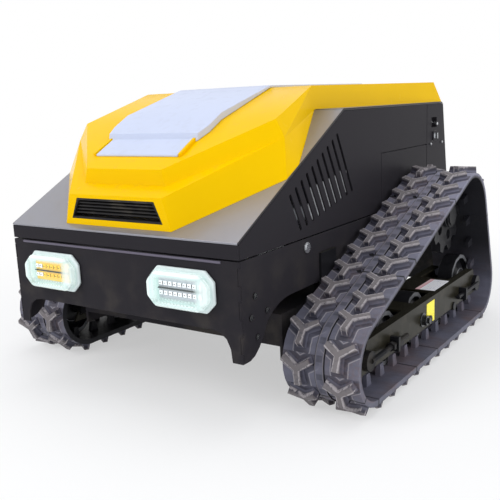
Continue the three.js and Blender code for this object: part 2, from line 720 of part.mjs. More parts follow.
function beltPath() {
  const count = beltWheels.length;
  const normals = beltWheels.map((wheel, i) => {
    const next = beltWheels[(i + 1) % count];
    const [dy, dz] = [next.y - wheel.y, next.z - wheel.z];
    const distance = Math.hypot(dy, dz);
    return Math.atan2(dz, dy) - Math.PI / 2 + Math.asin((wheel.radius - next.radius) / distance);
  });
  const stretches = [];
  beltWheels.forEach((wheel, i) => {
    const from = normals[(i + count - 1) % count];
    let to = normals[i];
    while (to < from) to += 2 * Math.PI;
    stretches.push({ kind: 'arc', wheel, from, to, length: wheel.radius * (to - from) });
    const next = beltWheels[(i + 1) % count];
    const angle = normals[i];
    const start = [wheel.y + wheel.radius * Math.cos(angle), wheel.z + wheel.radius * Math.sin(angle)];
    const end = [next.y + next.radius * Math.cos(angle), next.z + next.radius * Math.sin(angle)];
    stretches.push({ kind: 'run', start, end, angle,
      length: Math.hypot(end[0] - start[0], end[1] - start[1]) });
  });
  return stretches;
}

const beltStretches = beltPath();
const beltLength = beltStretches.reduce((sum, stretch) => sum + stretch.length, 0);
const linkPitch = beltLength / linkCount;

// Place on the belt's pitch line after a length: centre point and the outward direction's angle
function beltPlace(length) {
  let rest = ((length % beltLength) + beltLength) % beltLength;
  for (const stretch of beltStretches) {
    if (rest <= stretch.length) {
      const share = rest / stretch.length;
      if (stretch.kind === 'run') {
        const y = THREE.MathUtils.lerp(stretch.start[0], stretch.end[0], share);
        return { y, z: THREE.MathUtils.lerp(stretch.start[1], stretch.end[1], share),
          angle: stretch.angle };
      }
      const angle = THREE.MathUtils.lerp(stretch.from, stretch.to, share);
      const { y, z, radius } = stretch.wheel;
      return { y: y + radius * Math.cos(angle), z: z + radius * Math.sin(angle), angle };
    }
    rest -= stretch.length;
  }
  return beltPlace(0);
}

const arcStepAngle = THREE.MathUtils.degToRad(14);

function beltOutline(offset) {
  const points = [];
  for (const stretch of beltStretches.filter(({ kind }) => kind === 'arc')) {
    const steps = Math.ceil((stretch.to - stretch.from) / arcStepAngle);
    for (let i = 0; i <= steps; i += 1) {
      const angle = THREE.MathUtils.lerp(stretch.from, stretch.to, i / steps);
      const radius = stretch.wheel.radius + offset;
      points.push([stretch.wheel.y + radius * Math.cos(angle), stretch.wheel.z + radius * Math.sin(angle)]);
    }
  }
  return outline(points);
}

// Three-armed tread lug, drawn in (across, along) with its hub at the origin: each arm as its turn
// and length. Its foot is wider than its tip
const lugArms = [[30, 40], [150, 36], [268, 36]];
const lugFoot = { halfWidth: 12, reach: 1 };
const lugTip = { halfWidth: 6.5, reach: 0 };
const lugRootDepth = 6;
const lugColumnOffset = 47;

function lugOutline({ halfWidth, reach }) {
  return lugArms.flatMap(([turn, length], i) => {
    const angle = THREE.MathUtils.degToRad(turn);
    const direction = new THREE.Vector2(Math.cos(angle), Math.sin(angle));
    const side = new THREE.Vector2(-direction.y, direction.x).multiplyScalar(halfWidth);
    const end = direction.clone().multiplyScalar(length + reach);
    const isLast = i === lugArms.length - 1;
    const nextAngle = THREE.MathUtils.degToRad(isLast ? lugArms[0][0] + 360 : lugArms[i + 1][0]);
    const crotch = halfWidth / Math.sin((nextAngle - angle) / 2);
    const middle = (angle + nextAngle) / 2;
    const inner = new THREE.Vector2(Math.cos(middle) * crotch, Math.sin(middle) * crotch);
    return [end.clone().sub(side), end.clone().add(side), inner];
  });
}

// Block between two outlines of as many points: its foot and, at the far end, its tip
function lofted(foot, tip, depth) {
  const geometry = new THREE.ExtrudeGeometry(new THREE.Shape(foot), { depth, bevelEnabled: false });
  const places = geometry.attributes.position;
  for (let i = 0; i < places.count; i += 1) {
    if (places.getZ(i) < depth / 2) continue;
    const here = new THREE.Vector2(places.getX(i), places.getY(i));
    const distances = foot.map((point) => point.distanceTo(here));
    const { x, y } = tip[distances.indexOf(Math.min(...distances))];
    places.setXY(i, x, y);
  }
  return geometry;
}

// Put a piece drawn in (across, along, outward) on the belt
function onBelt(geometry, across, offset, length) {
  const { y, z, angle } = beltPlace(length);
  const outward = new THREE.Vector3(0, Math.cos(angle), Math.sin(angle));
  const along = new THREE.Vector3(0, Math.sin(angle), -Math.cos(angle));
  const placed = geometry.clone();
  placed.applyMatrix4(new THREE.Matrix4().makeBasis(X, along, outward));
  placed.translate(across, y + outward.y * offset, z + outward.z * offset);
  return solidOf(placed);
}

const guideLugLength = 26;
const guideTaperShare = 0.62;
const bandHalfWidth = 11;
const bandRise = 2.5;
const trackCentreX = trackInnerX + trackWidth / 2;

function trackBelt() {
  const half = carcassThickness / 2;
  const body = beltOutline(half);
  const rim = [trackInnerX, trackInnerX + trackWidth];
  const band = extrude(beltOutline(half + bandRise), 'x',
    [trackCentreX - bandHalfWidth, trackCentreX + bandHalfWidth]);
  const hollow = extrude(beltOutline(-half), 'x', [rim[0] - cutOverrun, rim[1] + cutOverrun]);
  const carcass = joined([extrude(body, 'x', rim), band]).subtract(hollow);
  const lug = lofted(lugOutline(lugFoot), lugOutline(lugTip), lugHeight + lugRootDepth);
  const mirroredLug = lug.clone().scale(-1, 1, 1);
  const [w, l] = [guideLugWidth / 2, guideLugLength / 2];
  const foot = [[-w, -l], [w, -l], [w, l], [-w, l]].map(([u, v]) => new THREE.Vector2(u, v));
  const narrow = foot.map((point) => point.clone().multiplyScalar(guideTaperShare));
  const guide = lofted(foot, narrow, guideLugHeight + lugRootDepth);
  guide.rotateY(Math.PI);
  const pieces = [carcass];
  for (let link = 0; link < linkCount; link += 1) {
    const length = link * linkPitch;
    pieces.push(onBelt(lug, trackCentreX + lugColumnOffset, half - lugRootDepth, length));
    pieces.push(onBelt(mirroredLug, trackCentreX - lugColumnOffset, half - lugRootDepth,
      length + linkPitch / 2));
    for (const side of [-1, 1]) {
      const across = trackCentreX + side * (guideLugOffset + guideLugWidth / 2);
      pieces.push(onBelt(guide, across, lugRootDepth - half, length + linkPitch / 4));
    }
  }
  // Where a flat lug tips over the start of a bend, its low corner is pressed flat on the ground
  const ground = block([0, 2 * hullHalfWidth], [-rearSeamY, 2 * rearSeamY], [-cutOverrun, 0]);
  return cut(joined(pieces), [ground]);
}

// Wheels run between the two rows of guide lugs: rim, coned disc and hub
const hubRadius = 24;
const hubHalfWidth = 30;
const rimDepth = 12;
const wheelSides = 14;
const webHalfWidth = 5;

function wheel(radius, y, z) {
  const bore = boreRadius(axleRadius, wheelSides);
  const profile = [
    [bore, -hubHalfWidth], [hubRadius, -hubHalfWidth], [radius - rimDepth, -webHalfWidth],
    [radius - rimDepth, -wheelHalfWidth], [radius, -wheelHalfWidth], [radius, wheelHalfWidth],
    [radius - rimDepth, wheelHalfWidth], [radius - rimDepth, webHalfWidth],
    [hubRadius, hubHalfWidth], [bore, hubHalfWidth], [bore, -hubHalfWidth],
  ];
  return revolve(profile, 'x', [trackCentreX, y, z], wheelSides);
}

const idlerRadius = idlerPitchRadius - carcassThickness / 2 - runningGap;
const beltInnerHeight = lugHeight + carcassThickness;
const roadWheelRadius = 68;
const rearRollerRadius = 56;
const roadWheelPlaces = [415, 602];
const rearRollerY = 786;
const roadWheelHeight = beltInnerHeight + runningGap + roadWheelRadius;
const rearRollerHeight = beltInnerHeight + runningGap + rearRollerRadius;

// Sprocket: toothed disc between the guide lugs, bolted to the gear motor's output hub
const toothCount = 10;
const toothTipRadius = sprocketPitchRadius - carcassThickness / 2 - runningGap;
const toothRootRadius = 88;
const toothTipShare = 0.16;
const toothFootShare = 0.34;
const sprocketHalfWidth = 12;
const sprocketHubRadius = 34;
const outputRadius = 20;
const sprocketHubEnd = 32;
const lightningHole = { count: 5, radius: 15, pitchRadius: 60 };

function sprocket() {
  const shape = new THREE.Shape();
  const step = 2 * Math.PI / toothCount;
  const points = [];
  for (let tooth = 0; tooth < toothCount; tooth += 1) {
    const middle = tooth * step;
    for (const [share, radius] of [
      [-toothFootShare, toothRootRadius], [-toothTipShare, toothTipRadius],
      [toothTipShare, toothTipRadius], [toothFootShare, toothRootRadius],
    ]) {
      points.push(new THREE.Vector2(Math.cos(middle + share * step) * radius,
        Math.sin(middle + share * step) * radius));
    }
  }
  shape.setFromPoints(points);
  const disc = extrude(shape, 'x', both(sprocketHalfWidth));
  const hub = rod(sprocketHubRadius, 'x', [-sprocketHalfWidth - sheet, sprocketHubEnd - sheet], [0, 0, 0]);
  const cap = rod(outputRadius + 2 * sheet, 'x', [0, sprocketHubEnd], [0, 0, 0]);
  const bore = rod(boreRadius(outputRadius, wideSides), 'x',
    [-cutOverrun - sprocketHalfWidth, sprocketHalfWidth], [0, 0, 0], wideSides);
  const holes = Array.from({ length: lightningHole.count }, (_, i) => {
    const angle = i * 2 * Math.PI / lightningHole.count;
    const centre = [
      0, lightningHole.pitchRadius * Math.cos(angle), lightningHole.pitchRadius * Math.sin(angle),
    ];
    return rod(lightningHole.radius, 'x', both(cutOverrun), centre, smallSides);
  });
  return cut(joined([disc, hub, cap]), [bore, ...holes]).translate([trackCentreX, sprocketY,
    sprocketHeight]);
}

// Gear motor: motor inside the hull, flange on the side plate, gear head and output shaft outside
const motorLength = 144;
const headLength = 56;
const motor = {
  radius: 48, innerEnd: hullHalfWidth - motorLength, flangeRadius: 66, neckRadius: 26, headRadius: 56,
  headEnd: hullHalfWidth + headLength,
};

function gearMotor() {
  const flangeIn = hullHalfWidth - sheet - fitGap;
  const flangeOut = hullHalfWidth + fitGap;
  const shaftEnd = trackCentreX + sprocketHalfWidth - fitGap;
  const profile = [
    [0, motor.innerEnd], [motor.radius, motor.innerEnd], [motor.radius, flangeIn - 3 * sheet],
    [motor.flangeRadius, flangeIn - 2 * sheet], [motor.flangeRadius, flangeIn],
    [motor.neckRadius, flangeIn],
    [motor.neckRadius, flangeOut + sheet], [motor.headRadius, flangeOut + 2 * sheet],
    [motor.headRadius, motor.headEnd - sheet],
    [motor.headRadius - 2 * sheet, motor.headEnd], [outputRadius, motor.headEnd], [outputRadius, shaftEnd],
    [0, shaftEnd],
  ];
  return revolve(profile, 'x', [0, sprocketY, sprocketHeight], wideSides);
}

// Motor cable: leaves the hull through its side, hangs in a loop and enters the gear head. Its route
// is given from the hull's side and the sprocket's axis
const cableRadius = 8;
const cableRoute = [
  [0, -155, 2], [14, -155, 0], [34, -149, -22], [44, -131, -66], [46, -105, -90], [46, -79, -88],
  [44, -61, -66], [42, -55, -38],
];
const cableSteps = 16;
const cableSides = 8;

function motorCable() {
  const start = hullHalfWidth + fitGap;
  const points = cableRoute.map(([x, y, z]) => {
    return new THREE.Vector3(start + x, sprocketY + y, sprocketHeight + z);
  });
  const path = new THREE.CatmullRomCurve3(points);
  const section = outline(Array.from({ length: cableSides }, (_, i) => {
    const angle = i * 2 * Math.PI / cableSides;
    return [Math.cos(angle) * cableRadius, Math.sin(angle) * cableRadius];
  }));
  const tube = solidOf(new THREE.ExtrudeGeometry(section, { steps: cableSteps, extrudePath: path }));
  const motorHead = rod(motor.headRadius + fitGap, 'x', [0, motor.headEnd + fitGap],
    [0, sprocketY, sprocketHeight], wideSides);
  const hullSide = block([0, start], [0, rearSeamY], [0, topHeight]);
  return cut(tube, [motorHead, hullSide]);
}

// Track frame: two webs with lips, joined by bridges and axles, with brackets up to the hull
const frameInset = 26;
const frameOuterInset = 28;
const frameFrontReach = 32;
const frameRearReach = 33;
const frameDepth = 29;
const frameRise = 43;
const frame = {
  outerX: trackInnerX + trackWidth - frameOuterInset, innerX: trackInnerX + frameInset, web: 6,
  low: idlerHeight - frameDepth, high: idlerHeight + frameRise,
  frontY: frontIdlerY - frameFrontReach, rearY: rearIdlerY + frameRearReach,
  endLean: 40, lip: 22,
};
const bridgeSpans = [[470, 540], [664, 806]];
const idlerSlot = { frontY: 213, length: 46, halfHeight: 13 };
const bracketSpans = [[318, 392], [664, 738]];
const bracketDrop = 46;
const bracketTop = seamHeight - bracketDrop;
const bracketSheet = 6;
const bracketFootRise = 20;
const bracketFoot = frame.high + bracketFootRise;
const adjusterLug = { y: 352, thickness: 10, height: 34, depth: 20 };
const rodRadius = 6;
const nutRadius = 11;
const adjusterX = frame.outerX + nutRadius + runningGap;

function frameWeb(x, facing) {
  const shape = outline([
    [frame.frontY, frame.low], [frame.rearY, frame.low], [frame.rearY - frame.endLean, frame.high],
    [frame.frontY + frame.endLean, frame.high],
  ]);
  const web = extrude(shape, 'x', [x, x + frame.web]);
  const lipX = facing > 0 ? [x, x + frame.lip] : [x + frame.web - frame.lip, x + frame.web];
  const lipY = [frame.frontY + frame.endLean, frame.rearY - frame.endLean];
  const lip = block(lipX, lipY, [frame.high - frame.web, frame.high]);
  return web.add(lip);
}

function trackFrame() {
  const webs = [frameWeb(frame.innerX, 1), frameWeb(frame.outerX - frame.web, -1)];
  const bridges = bridgeSpans.map((span) =>
    block([frame.innerX, frame.outerX], span, [frame.high - frame.web, frame.high]));
  const axles = [
    ...roadWheelPlaces.map((y) => [y, roadWheelHeight]), [rearRollerY, rearRollerHeight],
    [rearIdlerY, idlerHeight],
  ].map(([y, z]) => rod(axleRadius, 'x', [frame.innerX, frame.outerX + sheet], [0, y, z]));
  const foot = [hullHalfWidth + fitGap, hullHalfWidth + fitGap + bracketSheet];
  const brackets = bracketSpans.flatMap((span) => [
    block(foot, span, [frame.high - frame.web, bracketTop]),
    block([foot[0], frame.innerX + frame.web], span, [frame.high - frame.web, bracketFoot]),
  ]);
  const lug = (y) => block([frame.outerX - frame.web, adjusterX + adjusterLug.depth / 2],
    [y, y + adjusterLug.thickness],
    [idlerHeight - adjusterLug.height / 2, idlerHeight + adjusterLug.height / 2]);
  const rearLugY = rearIdlerY - (adjusterLug.y - frontIdlerY) - adjusterLug.thickness;
  const rearRod = rod(rodRadius, 'y', [rearLugY - 4 * adjusterLug.thickness, rearIdlerY],
    [adjusterX, 0, idlerHeight], smallSides);
  const rearBoss = rod(bossRadius, 'x', [frame.outerX, frame.outerX + bossDepth],
    [0, rearIdlerY, idlerHeight]);
  const slot = block([frame.innerX - cutOverrun, frame.outerX + cutOverrun],
    [idlerSlot.frontY, idlerSlot.frontY + idlerSlot.length],
    [idlerHeight - idlerSlot.halfHeight, idlerHeight + idlerSlot.halfHeight]);
  const rodHole = rod(boreRadius(rodRadius, smallSides), 'y',
    [adjusterLug.y - cutOverrun, adjusterLug.y + cutOverrun],
    [adjusterX, 0, idlerHeight], smallSides);
  const body = joined([...webs, ...bridges, ...axles, ...brackets, lug(adjusterLug.y), lug(rearLugY),
    rearRod, rearBoss]);
  return cut(body, [slot, rodHole]);
}

// Front yoke: idler axle with its round end boss, and the threaded adjuster rod with two nuts
const bossRadius = 23;
const bossDepth = 12;
const nutLength = 10;
const tensionTravel = 12;
const rodEndY = 424;

function frontYoke() {
  const centre = [0, frontIdlerY, idlerHeight];
  const axle = rod(axleRadius, 'x', [frame.innerX - sheet, frame.outerX + fitGap], centre);
  const boss = rod(bossRadius, 'x', [frame.outerX + fitGap, frame.outerX + fitGap + bossDepth], centre);
  const screw = rod(rodRadius, 'y', [frontIdlerY, rodEndY], [adjusterX, 0, idlerHeight], smallSides);
  const nut = (y) => rod(nutRadius, 'y', [y, y + nutLength], [adjusterX, 0, idlerHeight], 6);
  const frontNut = nut(adjusterLug.y - tensionTravel - 2 * fitGap - nutLength);
  const rearNut = nut(adjusterLug.y + adjusterLug.thickness + fitGap);
  return joined([axle, boss, screw, frontNut, rearNut]);
}

// Cutter deck: pressed top with skirts, bores for the lift posts and the seat of the spindle
const spindleRadius = 15;
const spindleFlangeRadius = 27;
const spindleHousing = 34;
const deckCorner = 90;

function deckShell() {
  const plan = outline([
    [-deckHalfWidth, deckFrontY], [deckHalfWidth, deckFrontY], [deckHalfWidth, deckRearY - deckCorner],
    [deckHalfWidth - deckCorner, deckRearY], [-deckHalfWidth + deckCorner, deckRearY],
    [-deckHalfWidth, deckRearY - deckCorner],
  ]);
  const inset = deckSheet;
  const innerPlan = outline([
    [-deckHalfWidth + inset, deckFrontY + inset], [deckHalfWidth - inset, deckFrontY + inset],
    [deckHalfWidth - inset, deckRearY - deckCorner - inset / 2],
    [deckHalfWidth - deckCorner - inset / 2, deckRearY - inset],
    [-deckHalfWidth + deckCorner + inset / 2, deckRearY - inset],
    [-deckHalfWidth + inset, deckRearY - deckCorner - inset / 2],
  ]);
  const outer = extrude(plan, 'z', [sideDeckBottom, deckTopHeight]);
  const inner = extrude(innerPlan, 'z', [sideDeckBottom - cutOverrun, deckTopHeight - deckSheet]);
  const frontCut = block(both(deckHalfWidth - 2 * inset),
    [deckFrontY - cutOverrun, deckFrontY + inset + cutOverrun],
    [sideDeckBottom - cutOverrun, frontSkirtBottom]);
  const housing = rod(spindleHousing, 'z', [deckTopHeight - 2 * spindleHousing, deckTopHeight],
    [0, spindleY, 0], wideSides);
  const bore = rod(boreRadius(spindleRadius), 'z', [0, topHeight], [0, spindleY, 0]);
  const bushes = [-liftPostX, liftPostX].map((x) =>
    rod(liftPostRadius * 2, 'z', [deckTopHeight - deckSheet, deckTopHeight + deckSheet], [x, spindleY, 0]));
  const postBores = [-liftPostX, liftPostX].map((x) =>
    rod(boreRadius(liftPostRadius), 'z', [deckTopHeight - cutOverrun, deckTopHeight + cutOverrun],
      [x, spindleY, 0]));
  return cut(joined([cut(outer, [inner, frontCut]), housing, ...bushes]), [bore, ...postBores]);
}

// Cutter: spindle under the engine and a bar with two raised wings
const cutterHalfWidth = 32;
const cutterThickness = 7;
const wingLength = 70;
const wingRise = 14;

function spindle() {
  const top = deckTopHeight - fitGap;
  const foot = cutterHeight - fitGap;
  return revolve([
    [0, cutterHeight + cutterThickness + fitGap],
    [spindleFlangeRadius, cutterHeight + cutterThickness + fitGap],
    [spindleFlangeRadius, deckTopHeight - 2 * spindleHousing - fitGap - sheet],
    [spindleRadius, deckTopHeight - 2 * spindleHousing - fitGap - sheet], [spindleRadius, top], [0, top],
  ], 'z', [0, spindleY, 0], midSides).add(rod(spindleRadius / 2, 'z', [foot - 2 * sheet, top - sheet],
    [0, spindleY, 0], smallSides))
    .add(rod(nutRadius, 'z', [foot - 2 * sheet, foot], [0, spindleY, 0], 6));
}

function cutterBar() {
  const bar = block(both(cutterRadius - wingLength), both(cutterHalfWidth), [0, cutterThickness]);
  const tip = outline([
    [cutterRadius - wingLength - sheet, -cutterHalfWidth], [cutterRadius, -cutterHalfWidth / 2],
    [cutterRadius, cutterHalfWidth], [cutterRadius - wingLength - sheet, cutterHalfWidth],
  ]);
  const blade = extrude(tip, 'z', [0, cutterThickness]);
  const wing = outline([
    [cutterHalfWidth / 2, 0], [cutterHalfWidth, wingRise],
    [cutterHalfWidth, wingRise + cutterThickness / 2],
    [cutterHalfWidth / 2 - sheet, cutterThickness],
  ]);
  const lift = extrude(wing, 'x', [cutterRadius - wingLength, cutterRadius]);
  const end = blade.add(lift);
  const hole = rod(boreRadius(spindleRadius / 2, smallSides), 'z', both(cutOverrun), [0, 0, 0], smallSides);
  return cut(joined([bar, end, end.rotate([0, 0, 180])]), [hole]).translate([0, spindleY, cutterHeight]);
}

// Engine on the deck, with its shaft upright: crankcase, one finned cylinder, fan shroud
const crankcase = { radius: 108, high: 118, flangeRadius: 130, flange: 10 };
const cylinder = {
  halfWidth: 62, startY: 60, endY: 176, low: 22, high: 108, finPitch: 12, finGap: 5, finDepth: 12,
};

function engineBlock() {
  const base = deckTopHeight + fitGap;
  const profile = [
    [0, 0], [crankcase.flangeRadius, 0], [crankcase.flangeRadius, crankcase.flange],
    [crankcase.radius, 2 * crankcase.flange],
    [crankcase.radius, crankcase.high - crankcase.flange],
    [crankcase.radius - crankcase.flange, crankcase.high], [0, crankcase.high],
  ];
  const body = revolve(profile, 'z', [0, 0, 0], wideSides);
  const barrel = block(both(cylinder.halfWidth), [-cylinder.endY, -cylinder.startY],
    [cylinder.low, cylinder.high]);
  const finCount = Math.floor((cylinder.endY - crankcase.radius) / cylinder.finPitch);
  const gaps = Array.from({ length: finCount }, (_, i) => {
    const y = -cylinder.endY + (i + 0.5) * cylinder.finPitch;
    const gap = block(both(cylinder.halfWidth + cutOverrun), [y, y + cylinder.finGap],
      [cylinder.low - cutOverrun, cylinder.high + cutOverrun]);
    const core = block(both(cylinder.halfWidth - cylinder.finDepth), [-cylinder.endY - cutOverrun, 0],
      [cylinder.low + cylinder.finDepth, cylinder.high - cylinder.finDepth]);
    return gap.subtract(core);
  });
  return body.add(cut(barrel, gaps)).translate([0, spindleY, base]);
}

const shroud = { radius: 118, height: 82, topRadius: 84, starterRadius: 58, starterHeight: 18 };
const shroudBase = deckTopHeight + crankcase.high + 2 * fitGap;

function engineShroud() {
  return revolve([
    [0, 0], [shroud.radius - hoodWall, 0], [shroud.radius, hoodWall], [shroud.radius, shroud.height / 2],
    [shroud.topRadius, shroud.height], [shroud.starterRadius, shroud.height],
    [shroud.starterRadius, shroud.height + shroud.starterHeight], [0, shroud.height + shroud.starterHeight],
  ], 'z', [0, spindleY, shroudBase], wideSides);
}

const mufflerInset = 104;
const muffler = {
  x: hullHalfWidth - mufflerInset, y: -126, low: 60, width: 76, depth: 130, height: 160, corner: 20,
  pipeRadius: 13, pipeWall: 2, pipeDrop: 65, outlet: 30,
};

function mufflerBody() {
  const { x, y, low, width, depth, height, corner, pipeRadius, pipeWall, pipeDrop, outlet } = muffler;
  const box = extrude(rounded(width, height, corner), 'y', both(depth / 2));
  const pipe = rod(pipeRadius, 'x', [-width / 2 - cylinderReach, 0], [0, 0, -pipeDrop]);
  const tail = rod(pipeRadius, 'y', [-depth / 2 - outlet, 0], [0, 0, 0]);
  const bore = rod(pipeRadius - pipeWall, 'y', [-depth - outlet, -depth / 2], [0, 0, 0]);
  return cut(joined([box, pipe, tail]), [bore])
    .translate([x, spindleY + y, deckTopHeight + low + height / 2]);
}

const cylinderReach = muffler.x - muffler.width / 2 - cylinder.halfWidth - fitGap;

const filterInset = 216;
const filter = {
  x: filterInset - hullHalfWidth, y: -118, width: 96, depth: 96, height: 78, corner: 18, low: 34,
};

function airFilter() {
  const reach = -filter.x - filter.width / 2 - cylinder.halfWidth - fitGap;
  const box = extrude(rounded(filter.width, filter.depth, filter.corner), 'z', both(filter.height / 2));
  const intake = rod(muffler.pipeRadius, 'x', [0, filter.width / 2 + reach], [0, 0, 0]);
  return box.add(intake).translate([filter.x, spindleY + filter.y,
    deckTopHeight + filter.low + filter.height / 2]);
}

const tank = {
  width: 250, depth: 84, height: 92, corner: 24, capRadius: 22, capHeight: 14, gap: 6, low: 60,
};

function fuelTank() {
  const centreY = spindleY + shroud.radius + tank.gap + tank.depth / 2;
  const base = deckTopHeight + tank.low;
  const body = extrude(rounded(tank.width, tank.depth, tank.corner), 'z', [base, base + tank.height]);
  const cap = rod(tank.capRadius, 'z', [base + tank.height - sheet, base + tank.height + tank.capHeight],
    [0, 0, 0]);
  const stay = block(both(tank.capRadius), [-tank.depth / 2 + 2 * tank.gap,
    tank.depth / 2 - 2 * tank.gap], [deckTopHeight + fitGap, base + sheet]);
  return joined([body, cap, stay]).translate([0, centreY, 0]);
}

// Lift actuator: its case hangs on the hull's cross lip, its rod pulls the deck's front edge up
const actuatorSetback = 28;
const actuatorRise = 10;
const actuatorLength = 90;
const actuator = {
  x: 0, y: floorFrontY + actuatorSetback, radius: 20, rodRadius: 9, stroke: 60, footDepth: 28,
  caseLow: floorHeight + actuatorRise, caseHigh: floorHeight + actuatorRise + actuatorLength,
};

function liftActuator() {
  const centre = [actuator.x, actuator.y, 0];
  const tube = rod(actuator.radius, 'z', [actuator.caseLow, actuator.caseHigh], centre);
  const footZ = [floorHeight + sheet + fitGap, actuator.caseLow + sheet];
  const foot = block([actuator.x - 2 * actuator.radius, actuator.x + 2 * actuator.radius],
    [floorFrontY + sheet + fitGap, actuator.y + actuator.footDepth], footZ);
  const bore = rod(boreRadius(actuator.rodRadius), 'z', [0, actuator.caseLow + actuator.stroke + fitGap],
    centre);
  return cut(tube.add(foot), [bore]);
}

function actuatorRod() {
  const centre = [actuator.x, actuator.y, 0];
  const stem = rod(actuator.rodRadius, 'z', [deckTopHeight + fitGap, actuator.caseLow + sheet], centre);
  const pad = block([actuator.x - actuator.radius, actuator.x + actuator.radius],
    [actuator.y - actuator.radius / 2, actuator.y + actuator.radius / 2],
    [deckTopHeight + fitGap, deckTopHeight + sheet]);
  return stem.add(pad);
}

// Battery and control box behind the engine, between the drive motors
const batteryInset = 184;
const batteryDepth = 240;
const battery = {
  halfWidth: 118, frontY: rearSeamY - batteryInset - batteryDepth,
  rearY: rearSeamY - batteryInset, height: 150, post: 9, postRise: 12, postShare: 0.7,
};

function batteryPack() {
  const base = floorHeight + sheet + fitGap;
  const middleY = (battery.frontY + battery.rearY) / 2;
  const plan = rounded(2 * battery.halfWidth, battery.rearY - battery.frontY, sheet * 3);
  const body = extrude(plan, 'z', [base, base + battery.height]).translate([0, middleY, 0]);
  const posts = both(battery.halfWidth * battery.postShare).map((x) =>
    rod(battery.post, 'z', [base + battery.height - sheet, base + battery.height + battery.postRise],
      [x, battery.rearY - battery.halfWidth / 3, 0], smallSides));
  return joined([body, ...posts]);
}

const controllerRise = 48;
const controller = {
  halfWidth: 150, depth: 96, rearGap: 12, low: floorHeight + controllerRise, height: 190, rib: 8,
  footShare: 0.8,
};

function controlBox() {
  const high = controller.low + controller.height;
  const rearY = rearFace(high) - rearInnerGap - controller.rearGap;
  const frontY = rearY - controller.depth;
  const base = floorHeight + sheet + fitGap;
  const body = extrude(rounded(2 * controller.halfWidth, controller.depth, sheet * 2), 'z',
    [controller.low, high])
    .translate([0, (frontY + rearY) / 2, 0]);
  const feet = both(controller.halfWidth * controller.footShare).map((x) =>
    block([x - controller.rib, x + controller.rib], [frontY + controller.rib, rearY - controller.rib],
      [base, controller.low + sheet]));
  return joined([body, ...feet]);
}

const mower = new THREE.Group();
const frontmostY = -lampFlangeDepth - lensDepth;
mower.position.y = -(frontmostY + rearSeamY) / 2;

function addPair(name, solid, look) {
  mower.add(part(`${name}_right`, solid, look), part(`${name}_left`, mirrored(solid), look));
}

mower.add(part('front_plate', frontPlate(), steelBlack));
addPair('side_plate', sidePlate(), steelBlack);
mower.add(part('floor_plate', floorPlate(), steelBlack));
mower.add(part('rear_plate', rearPlate(), steelBlack));
mower.add(part('pillar_right', pillar(true), steelBlack));
mower.add(part('pillar_left', mirrored(pillar(false)), steelBlack));
mower.add(part('key_barrel', keyBarrel(), brightSteel));
mower.add(part('toggle_lever', toggleLever(), brightSteel));
mower.add(part('battery', batteryPack(), batteryBlue));
mower.add(part('control_box', controlBox(), castGrey));
mower.add(part('lift_actuator', liftActuator(), steelBlack));
addPair('lamp_base', lampBase(), lensClear);
addPair('lamp_lens', lampLens(), lensClear);
addPair('hinge_bracket', hingeBracket(), steelBlack);

addPair('cover_side', coverSide(), steelBlack);
mower.add(part('cover_lip', coverLip(), steelBlack));
mower.add(part('slope_panel', slopePanel(), steelGrey));
mower.add(part('hood', hood(), hoodYellow));
mower.add(part('hood_grille', hoodGrille(), plasticBlack));
mower.add(part('centre_panel', centrePanel(), panelWhite));
addPair('access_cover', accessCover(), steelBlack);
addPair('hinge_leaf', hingeLeaf(), steelBlack);

mower.add(part('deck_shell', deckShell(), steelBlack));
mower.add(part('engine_block', engineBlock(), castGrey));
mower.add(part('engine_shroud', engineShroud(), plasticBlack));
mower.add(part('muffler', mufflerBody(), brightSteel));
mower.add(part('air_filter', airFilter(), plasticBlack));
mower.add(part('fuel_tank', fuelTank(), plasticBlack));
mower.add(part('actuator_rod', actuatorRod(), brightSteel));
mower.add(part('spindle', spindle(), castGrey));
mower.add(part('cutter_bar', cutterBar(), brightSteel));

addPair('track_belt', trackBelt(), rubberBlack);
addPair('track_frame', trackFrame(), frameOlive);
addPair('gear_motor', gearMotor(), castGrey);
addPair('motor_cable', motorCable(), plasticBlack);
addPair('front_yoke', frontYoke(), brightSteel);
addPair('front_idler', wheel(idlerRadius, frontIdlerY, idlerHeight), steelBlack);
addPair('rear_idler', wheel(idlerRadius, rearIdlerY, idlerHeight), steelBlack);
addPair('road_wheel_front', wheel(roadWheelRadius, roadWheelPlaces[0], roadWheelHeight), steelBlack);
addPair('road_wheel_middle', wheel(roadWheelRadius, roadWheelPlaces[1], roadWheelHeight), steelBlack);
addPair('road_wheel_rear', wheel(rearRollerRadius, rearRollerY, rearRollerHeight), steelBlack);
addPair('sprocket', sprocket(), steelBlack);

export default mower;
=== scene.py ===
"""Looks of a tracked slope mower: paint, rubber, lamps, bolts, stickers, light and camera."""
import math

import bpy
from mathutils import Matrix, Vector


